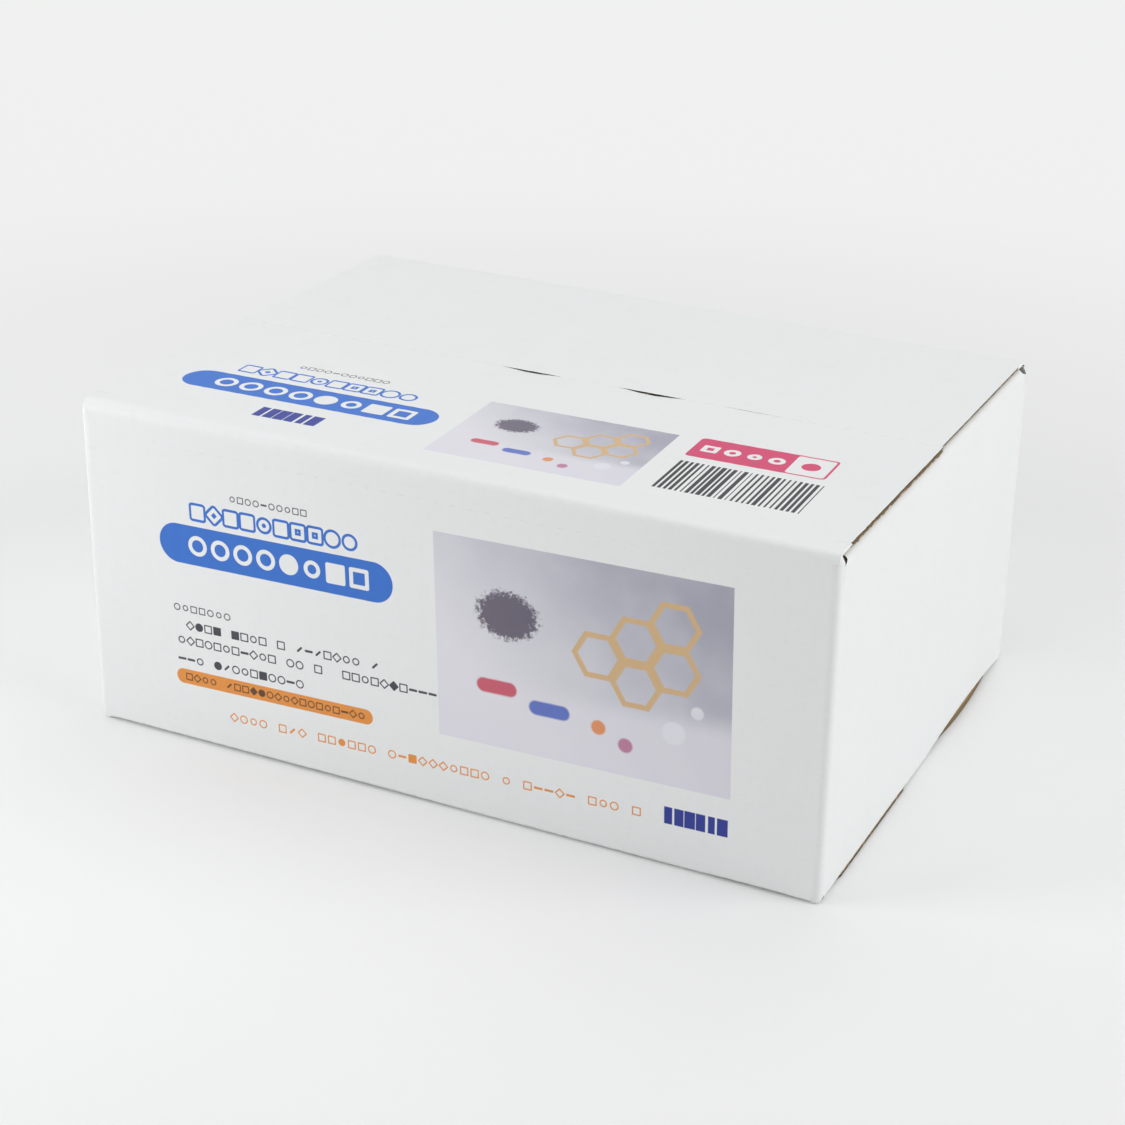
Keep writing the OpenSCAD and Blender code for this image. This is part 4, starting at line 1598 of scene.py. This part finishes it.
class MakeBrush(bpy.types.Operator):
    """Test tube brush of twisted wire with a loop and dark bristles"""

    bl_idname = "chemistry_case.make_brush"
    bl_label = "Brush"

    def execute(self, context):
        low, high = edges_mm("brush_wire")
        middle = (low + high) / 2
        loop = (high.y - low.y) / 2
        piece = Piece("brush_twisted_wire", steel_wire())
        start = low.x + 2 * loop - 1.6
        # two strands, one turn in about 5.2 mm, each turn made in 14 steps
        turns, each = round((high.x - start) / 5.2), 14
        upright = Matrix.Rotation(math.pi / 2, 3, "Y")
        for phase in (0, math.pi):
            bm = bmesh.new()
            bmesh.ops.create_circle(bm, segments=8, radius=0.5 * MM)
            bmesh.ops.rotate(bm, cent=(0, 0, 0), matrix=upright, verts=bm.verts[:])
            y, z = middle.y + 0.48 * math.cos(phase), middle.z + 0.48 * math.sin(phase)
            bmesh.ops.translate(bm, vec=Vector((start, y, z)) * MM, verts=bm.verts[:])
            bmesh.ops.spin(
                bm,
                geom=bm.verts[:] + bm.edges[:],
                cent=Vector((start, middle.y, middle.z)) * MM,
                axis=(1, 0, 0),
                dvec=Vector(((high.x - start) / (turns * each), 0, 0)) * MM,
                angle=turns * math.tau,
                steps=turns * each,
                use_merge=False,
                use_duplicate=False,
            )
            bmesh.ops.holes_fill(bm, edges=bm.edges[:], sides=8)
            bmesh.ops.recalc_face_normals(bm, faces=bm.faces[:])
            piece.add(bm)
        angles = spaced(0, math.tau, 10)[:-1]
        ring = [(loop - 0.9 + 0.85 * math.cos(a), 0.85 * math.sin(a)) for a in angles]
        centre = Vector((low.x + loop, middle.y, middle.z))
        piece.add(lathe(ring, 40, Matrix.Translation(centre * MM)))
        piece.finish("carton", ["brush_wire"], "steel_wire", sharp=60)
        self.bristles(middle)
        return {"FINISHED"}

    def bristles(self, middle):
        low, high = edges_mm("brush_bristles")
        reach = (high.y - low.y) / 2
        dark = mottled("dark bristle", tuple(looks().bristle), 0.5, rough=0.32)
        piece = Piece("brush_bristle_tuft", dark)
        chance = random.Random(7)
        count = looks().bristles
        bm = bmesh.new()
        for number in range(count):
            # small batches, because each new shape takes longer the more there are
            if number % 80 == 79:
                piece.add(bm)
                bm = bmesh.new()
            share = (number + chance.random()) / count
            x = low.x + 1.5 + (high.x - low.x - 3) * share
            turn = math.tau * share * 17 + (number % 2) * math.pi + chance.gauss(0, 0.3)
            tip = reach * (1 - 0.3 * abs(2 * share - 1) ** 4) * chance.uniform(0.93, 0.99)
            lean = chance.gauss(0, 0.09) + 0.25 * (2 * share - 1) ** 3
            way = Vector((lean, math.cos(turn), math.sin(turn))).normalized()
            root = Vector((x, middle.y, middle.z)) + way * 0.5
            turned = way.to_track_quat("Z", "X").to_matrix().to_4x4()
            bmesh.ops.create_cone(
                bm,
                cap_ends=True,
                segments=3,
                radius1=0.14 * MM,
                radius2=0.07 * MM,
                depth=(tip - 0.5) * MM,
                matrix=Matrix.Translation((root + way * (tip - 0.5) / 2) * MM) @ turned,
            )
        piece.add(bm)
        for v in piece.mesh.verts:
            v.co.x = min(max(v.co.x, low.x * MM), high.x * MM)
        piece.finish("carton", ["brush_bristles"], "dark_bristle")


class MakeDropper(bpy.types.Operator):
    """Soft dropper with a squeezable bulb and moulded marks"""

    bl_idname = "chemistry_case.make_dropper"
    bl_label = "Dropper"

    def execute(self, context):
        low, high = edges_mm("dropper")
        bulb, long = (high.y - low.y) / 2, high.x - low.x
        # the bulb's lower end
        foot = long - 45
        place = lying(low, high)
        outer = arc(0, long - bulb, bulb, 90, 10, 9)
        outer += [(bulb, long - 16), (bulb, foot + 12), (bulb - 0.3, foot + 7), (bulb - 0.9, foot + 4)]
        outer += [(bulb - 2.2, foot + 0.6), (bulb - 3.8, foot - 2), (4.4, foot - 4.4), (4.05, foot - 6)]
        for ring in range(3):
            z = foot - 9 - 2.4 * ring
            outer += [(4, z + 0.9), (4.45, z + 0.4), (4.45, z - 0.4), (4, z - 0.9)]
        outer += [(4, 80), (4, 36), (3.9, 34), (2.6, 10), (2, 0.6), (1.7, 0), (1.25, 0)]
        inner = [(1.2, 0.5), (1.75, 10), (3.1, 34), (3.2, 36), (3.2, 80), (3.2, foot - 6)]
        inner += [(4.4, foot - 2.4), (6.4, foot + 1.2), (bulb - 0.9, foot + 7), (bulb - 0.8, foot + 12)]
        inner += arc(0, long - bulb, bulb - 0.8, 10, 90, 8)
        piece = Piece("dropper_body", milky_plastic())
        piece.add(lathe(outer + inner, 40, place))
        for step, wide in enumerate((0.7, 0.35, 0.7, 0.35, 0.7)):
            at = 44 + 11 * step
            piece.add(band(math.pi - wide, math.pi + wide, at, at + 0.5, 3.95, 0.2, place))
        piece.finish("carton", ["dropper"], "milky_plastic")
        return {"FINISHED"}


class MakeBottle(bpy.types.Operator):
    """Indicator bottle with its solution, label, nozzle, ribbed cap and seal"""

    bl_idname = "chemistry_case.make_bottle"
    bl_label = "Bottle"

    def execute(self, context):
        low, high = edges_mm("bottle")
        r = (high.x - low.x) / 2
        middle = Vector(((low.x + high.x) / 2, (low.y + high.y) / 2, low.z))
        place = Matrix.Translation(middle * MM)
        # outside from the foot up over the shoulder and neck, then down the inside
        body = [(0, 0.5), (r - 3, 0.35), (r - 1.9, 0)] + arc(r - 1.2, 1.2, 1.2, -90, 0, 5)
        body += [(r, 16), (r, 31)] + arc(r - 3.5, 31.2, 3.5, 0, 62, 6)
        body += [(5.9, 35.6), (5.55, 36.3), (5.5, 37), (5.5, 45.6), (5.1, 46), (4.4, 46), (4.2, 45.7)]
        body += [(4.2, 35.6), (5, 34.7), (r - 3, 33.2), (r - 1.4, 31.8), (r - 1, 30.5), (r - 1, 16)]
        body += [(r - 1, 2.2), (r - 1.6, 1.2), (0, 1)]
        piece = Piece("bottle_body", milky_plastic())
        piece.add(lathe(body, 56, place))
        piece.add(self.thread(place))
        piece.finish("carton", ["bottle"], "milky_plastic")
        self.fittings(middle, place, r)
        return {"FINISHED"}

    def thread(self, place):
        """Thread on the neck: two turns that rise 2.5 mm each, in 36 steps a turn."""
        bm = bmesh.new()
        corners = (5.4, 38.6), (5.74, 39.2), (5.4, 39.8)
        section = [bm.verts.new((a * MM, 0, b * MM)) for a, b in corners]
        lines = [bm.edges.new((section[k - 1], section[k])) for k in range(3)]
        bmesh.ops.spin(
            bm,
            geom=section + lines,
            cent=(0, 0, 0),
            axis=(0, 0, 1),
            dvec=(0, 0, 2.5 / 36 * MM),
            angle=2 * math.tau,
            steps=72,
            use_merge=False,
            use_duplicate=False,
        )
        bmesh.ops.holes_fill(bm, edges=bm.edges[:], sides=3)
        bmesh.ops.recalc_face_normals(bm, faces=bm.faces[:])
        bmesh.ops.transform(bm, matrix=place, verts=bm.verts[:])
        return bm

    def fittings(self, middle, place, r):
        """Solution, nozzle plug, seal and ribbed cap, and the label."""
        fluid = [(0, 1.1), (r - 1.9, 1.15), (r - 1.2, 2), (r - 1.1, 4), (r - 1.1, 26.95)]
        fluid += [(r - 1.4, 26.75), (r - 2.4, 26.6), (0, 26.55)]
        tint = tuple(looks().solution)
        solution = mottled("indicator solution", tint, rough=0.0, transmission_weight=0.5, ior=1.33)
        soft_seal = mottled("soft seal", (0.75, 0.75, 0.72))
        nozzle = [(0.4, 36), (3.9, 36), (4.15, 36.4), (4.15, 45.9), (5.1, 46), (5.3, 46.2), (5.3, 47)]
        nozzle += [(5.1, 47.2), (3.2, 47.2), (2.7, 47.6), (2.3, 50), (1.3, 59.6), (1, 60.2)]
        nozzle += [(0.5, 60.2)]
        seal = [(0, 60.5), (1.7, 60.5), (1.9, 60.7), (1.9, 61.8), (1.7, 62), (0, 62)]
        cap = [(5.8, 37.7), (6, 37.5), (7.5, 37.5), (8, 37.9), (8, 42), (8, 46.6), (7.6, 47.3)]
        cap += [(7.2, 47.6), (6.9, 48.4), (6.2, 52), (4.6, 58), (3.5, 62.4), (3.1, 63)]
        cap += [(2.6, 63.2), (0, 63.2), (0, 62.02), (1.95, 62.02), (1.95, 60.4), (3.4, 54)]
        cap += [(5.8, 47.4)]
        for name, profile, steps, made_of, node, slot, body in (
            ("indicator_fluid", fluid, 48, solution, "indicator_solution", "solution", "carton"),
            ("nozzle_plug", nozzle, 40, milky_plastic(), "bottle_nozzle", "milky_plastic", "carton"),
            ("seal_disc", seal, 24, soft_seal, "cap_seal", "soft_seal", "cap_seal"),
            ("ribbed_cap", cap, 180, self.orange(), "bottle_cap", "orange_plastic", "bottle_cap"),
        ):
            turned = lathe(profile, steps, Matrix())
            if name == "ribbed_cap":
                # 36 ribs round the skirt, 0.4 mm deep
                for v in turned.verts:
                    x, y, z = v.co / MM
                    if math.hypot(x, y) > 7.4 and z < 46.8:
                        rib = 0.5 - 0.5 * math.cos(36 * math.atan2(y, x))
                        v.co.xy *= 1 - 0.4 * rib / math.hypot(x, y)
            bmesh.ops.transform(turned, matrix=place, verts=turned.verts[:])
            single(name, made_of, turned, node, slot, body)
        self.label(middle, place, r)

    def orange(self):
        return mottled("orange plastic", tuple(looks().cap), 0.05, rough=0.25)

    def label(self, middle, place, r):
        """Blank label with a coloured band and lines of dashes."""

        def build(g):
            x, y, z = g.split(g.moved(g.place(), shift=tuple(-middle * MM)))
            around = g.times(g.math("ARCTAN2", y, x), r)
            up = g.times(z, 1000.0)
            uneven = g.group(mottle_group(), Place=g.place(), Amount=0.08)
            p = Printer(g, around, up, screen_colour(240, 238, 230))
            p.block(-40, 40, 19.4, 22.6, 0.1, tuple(looks().solution))
            p.dashes(-24, -3, 15.8, 0.9, 2.6, 4, screen_colour(60, 60, 70))
            p.dashes(-24, -8, 12.6, 0.5, 1.6, 9, screen_colour(90, 90, 100))
            p.dashes(-24, -6, 10.4, 0.5, 1.6, 14, screen_colour(90, 90, 100))
            return printed_sheet(g, p.result, uneven, 0.45)

        paper = material("label paper", build)
        wrapped = band(0.06, math.tau - 0.06, 5, 25, r + 0.05, 0.15, place)
        single("blank_label", paper, wrapped, "bottle_label", "label_paper")


class MakeLitmus(bpy.types.Operator):
    """Two packs of litmus paper, each a folded card round a stack of strips"""

    bl_idname = "chemistry_case.make_litmus"
    bl_label = "Litmus packs"

    def execute(self, context):
        for name, card, paper in (
            ("red", tuple(looks().red), (224, 132, 142)),
            ("blue", tuple(looks().blue), (132, 148, 208)),
        ):
            self.cover(name, card)
            self.strips(name, paper)
        return {"FINISHED"}

    def cover(self, name, tint):
        node = name + "_litmus_cover"
        low, high = edges_mm(node)
        wide, tall = high.y - low.y, high.z - low.z
        x0 = low.x

        def build(g):
            x, y, _ = g.split(g.place())
            uneven = g.group(mottle_group(), Place=g.place(), Amount=0.12)
            u = g.times_plus(x, 1000.0, -x0)
            v = g.times_plus(y, 1000.0, -low.y)
            p = Printer(g, u, v, tint)
            p.block(14, 44, 3.2, 10.8, 0.8, screen_colour(240, 238, 232))
            p.dashes(17, 41, 8.4, 0.9, 2.6, 5, tint)
            p.dashes(17, 35, 5.4, 0.5, 1.7, 8, screen_colour(80, 80, 90))
            return printed_sheet(g, p.result, uneven, 0.4)

        path = [(0.02, 0.4), (4, 0.4), (9, 0.4)] + bend(wide - 1.4, 1.4, 1.0, -90, 0)
        path += [(wide - 0.4, tall / 2)] + bend(wide - 1.4, tall - 1.4, 1.0, 0, 90)
        path += [(9, tall - 0.4), (4, tall - 0.4), (0.02, tall - 0.4)]
        piece = Piece(name + "_card", material(name + " card", build), steel_wire())
        cuts = [0, 0.5, 12, 25, 38, 49.5, 50]

        def place(s, a, b):
            return x0 + s, low.y + a, low.z + b

        piece.add(folded_sheet(path, 0.8, cuts, place))
        staple = (x0 + 5, low.y + 3.5, high.z), (x0 + 5.5, low.y + 9.5, high.z + 0.3)
        piece.add(rounded_box(*staple, 0.2, 2, 1))
        piece.finish("carton", [node], name + "_card")

    def strips(self, name, tint):
        node = name + "_litmus_strips"
        low, high = edges_mm(node)
        paper = mottled(name + " litmus", screen_colour(*tint), 0.15, rough=0.7)
        piece = Piece(name + "_strip_stack", paper)
        chance = random.Random(11)
        count = 16
        each = (high.z - low.z) / count
        half = (high.y - low.y) / 2
        for leaf in range(count):
            for part in range(2):
                back = low.y + part * half + chance.uniform(0, 0.25)
                start = low.x + chance.uniform(0, 0.5)
                end = high.x - chance.uniform(0, 0.5)
                z = low.z + leaf * each
                corners = (start, back, z + 0.03), (end, back + half - 0.3, z + each - 0.03)
                piece.add(rounded_box(*corners, 0.05, 1))
        piece.finish("carton", [node], name + "_litmus")


class MakeLeaflet(bpy.types.Operator):
    """Instruction leaflet, a sheet folded in three"""

    bl_idname = "chemistry_case.make_leaflet"
    bl_label = "Leaflet"

    def execute(self, context):
        low, high = edges_mm("instruction_leaflet")
        tall = high.z - low.z
        middle = (low.y + high.y) / 2

        def build(g):
            x, _, z = g.split(g.place())
            uneven = g.group(mottle_group(), Place=g.place(), Amount=0.06)
            inks = bpy.context.scene.carton_inks
            u, v = g.times(x, 1000.0), g.times_plus(z, 1000.0, -low.z)
            p = Printer(g, u, v, screen_colour(244, 242, 232))
            p.block(-92, 92, tall - 18, tall - 8, 2, inks.blue)
            for line in range(11):
                end = (88, 62, 90, 90, 34)[line % 5]
                p.dashes(-90, end, tall - 25 - 6 * line, 1.0, 3.4, 13 * line, inks.grey)
            return printed_sheet(g, p.result, uneven, 0.55)

        def bulged(side, start, end):
            """Path up or down one side of the leaflet, which bulges a little in the middle."""
            return [
                (side * 0.68 + 0.16 * side * math.sin(math.pi * b / tall), b)
                for b in spaced(start, end, 8)
            ]

        path = bulged(-1, 0.3, tall - 0.9)[:-1] + bend(-0.34, tall - 0.9, 0.34, 180, 0)
        path += [(0, tall / 2)] + bend(0.34, 0.9, 0.34, 180, 360) + bulged(1, 0.9, tall - 0.4)[1:]
        paper = material("leaflet paper", build)
        cuts = spaced(low.x, high.x, 20)
        sheet = folded_sheet(path, 0.14, cuts, lambda s, a, b: (s, middle + a, low.z + b))
        node = "instruction_leaflet"
        single("folded_leaflet", paper, sheet, node, "leaflet_paper", sharp=50)
        return {"FINISHED"}


# Stage

# the camera that was fitted to the photograph, in shares of the picture and of the width
FOCUS = 2328.4 / 1125
CENTRE = (664.9 / 1125, 494.7 / 1125)
FITTED_WIDTH = 0.258
CAMERA_AT = (1.2344 * FITTED_WIDTH, -2.5307 * FITTED_WIDTH, 1.4558 * FITTED_WIDTH)
SENSOR = 36


class MakeStage(bpy.types.Operator):
    """Floor, soft light and the camera at the photograph's angle"""

    bl_idname = "chemistry_case.make_stage"
    bl_label = "Stage"

    def execute(self, context):
        looks = context.scene.stage_looks
        self.floor(looks)
        self.world(looks)
        for name, place, target, size, power in (
            ("left lamp", (-0.62, -0.5, 0.3), (-0.1, -0.05, 0.04), 0.4, looks.left),
            ("right lamp", (1.5, 0.1, 0.75), (0.05, 0, 0.05), 1.1, looks.right),
            ("top lamp", (-0.15, 0.6, 2.6), (0, 0.4, 0), 4.0, looks.top),
        ):
            lamp = bpy.data.lights.new(name, "AREA")
            lamp.energy, lamp.size = power, size
            made = bpy.data.objects.new(name, lamp)
            context.scene.collection.objects.link(made)
            turned = (Vector(target) - Vector(place)).to_track_quat("-Z", "Y")
            made.matrix_world = Matrix.Translation(place) @ turned.to_matrix().to_4x4()
        self.camera(looks)
        context.scene.view_settings.view_transform = "Standard"
        return {"FINISHED"}

    def floor(self, looks):
        """A round floor, which from 0.2 m out goes over to an even pale ground."""
        bm = bmesh.new()
        bmesh.ops.create_circle(bm, cap_ends=True, radius=9, segments=96)

        def build(g):
            place = g.place()
            scales = {"Blotch_Scale": 1.2, "Grain_Scale": 60.0}
            rough = g.group(mottle_group(), Place=place, Amount=0.01, **scales)
            pale = g.mix(1.0, tuple(looks.floor), rough["Shade"], "MULTIPLY")
            away = g.node("ShaderNodeVectorMath", operation="LENGTH")
            g.feed(away.inputs[0], place)
            far = g.times(g.smooth(away.outputs["Value"], 0.2, 0.7), self.seen(g))
            return {
                "Base Color": g.mix(far, pale, (0, 0, 0)),
                "Emission Color": g.mix(far, (0, 0, 0), tuple(looks.distance)),
            }

        fixed = {"roughness": 0.9, "specular_ior_level": 0.1, "emission_strength": 1.0}
        piece = Piece("floor", material("floor", build, **fixed))
        piece.add(bm)
        made = piece.finish(None, smooth=False)

    def world(self, looks):
        world = bpy.data.worlds.new("studio")
        world.use_nodes = True
        bpy.context.scene.world = world
        ground = world.node_tree.nodes["Background"]
        g = Graph(world.node_tree)
        g.feed(ground.inputs["Color"], (0.99, 1.0, 1.0))
        pale = g.times_plus(self.seen(g), 0.86 - looks.sky, looks.sky)
        g.feed(ground.inputs["Strength"], pale)

    def seen(self, g):
        """1 where the camera sees a surface, also in a reflection or through glass."""
        path = g.node("ShaderNodeLightPath")
        both = g.math("MAXIMUM", path.outputs["Is Camera Ray"], path.outputs["Is Glossy Ray"])
        return g.math("MAXIMUM", both, path.outputs["Is Transmission Ray"])

    def camera(self, looks):
        lens = bpy.data.cameras.new("camera")
        lens.sensor_width, lens.sensor_fit = SENSOR, "HORIZONTAL"
        lens.lens = FOCUS * SENSOR
        lens.shift_x, lens.shift_y = 0.5 - CENTRE[0], CENTRE[1] - 0.5
        lens.clip_start = 0.02
        made = bpy.data.objects.new("camera", lens)
        bpy.context.scene.collection.objects.link(made)
        a, e, roll = looks.azimuth, looks.elevation, looks.roll
        back = Vector((math.sin(a) * math.cos(e), -math.cos(a) * math.cos(e), math.sin(e)))
        right = Vector((math.cos(a), math.sin(a), 0))
        up = back.cross(right)
        turned = math.cos(roll) * right + math.sin(roll) * up
        axes = Matrix((turned, back.cross(turned), back)).transposed()
        made.matrix_world = Matrix.Translation(CAMERA_AT) @ axes.to_4x4()
        bpy.context.scene.camera = made


# Panel and registration

GROUPS = (
    ("board_sizes", BoardSizes, "Board"),
    ("carton_inks", PrintColours, "Paper and inks"),
    ("contents_looks", ContentsLooks, "Contents"),
    ("stage_looks", StageLooks, "Stage"),
)
MAKERS = (
    MakeWalls,
    MakeTopFlaps,
    MakeBottom,
    MakeRack,
    MakeTubes,
    MakeBeaker,
    MakeRods,
    MakeBrush,
    MakeDropper,
    MakeBottle,
    MakeLitmus,
    MakeLeaflet,
    MakeStage,
)


class ChemistryPanel(bpy.types.Panel):
    """Lists the sizes, the colours and the operators"""

    bl_idname = "VIEW3D_PT_chemistry_case"
    bl_label = "Chemistry set"
    bl_space_type = "VIEW_3D"
    bl_region_type = "UI"
    bl_category = "Chemistry set"

    def draw(self, context):
        for attribute, group, label in GROUPS:
            box = self.layout.box()
            box.label(text=label)
            values = getattr(context.scene, attribute)
            for name in group.__annotations__:
                box.prop(values, name)
        for maker in MAKERS:
            self.layout.operator(maker.bl_idname)


def register():
    for attribute, group, _ in GROUPS:
        bpy.utils.register_class(group)
        setattr(bpy.types.Scene, attribute, PointerProperty(type=group))
    for one in (*MAKERS, ChemistryPanel):
        bpy.utils.register_class(one)


def unregister():
    for one in reversed((*MAKERS, ChemistryPanel)):
        bpy.utils.unregister_class(one)
    for attribute, group, _ in reversed(GROUPS):
        delattr(bpy.types.Scene, attribute)
        bpy.utils.unregister_class(group)


def main():
    register()
    for maker in MAKERS:
        area, name = maker.bl_idname.split(".")
        getattr(getattr(bpy.ops, area), name)()


if __name__ == "__main__":
    main()
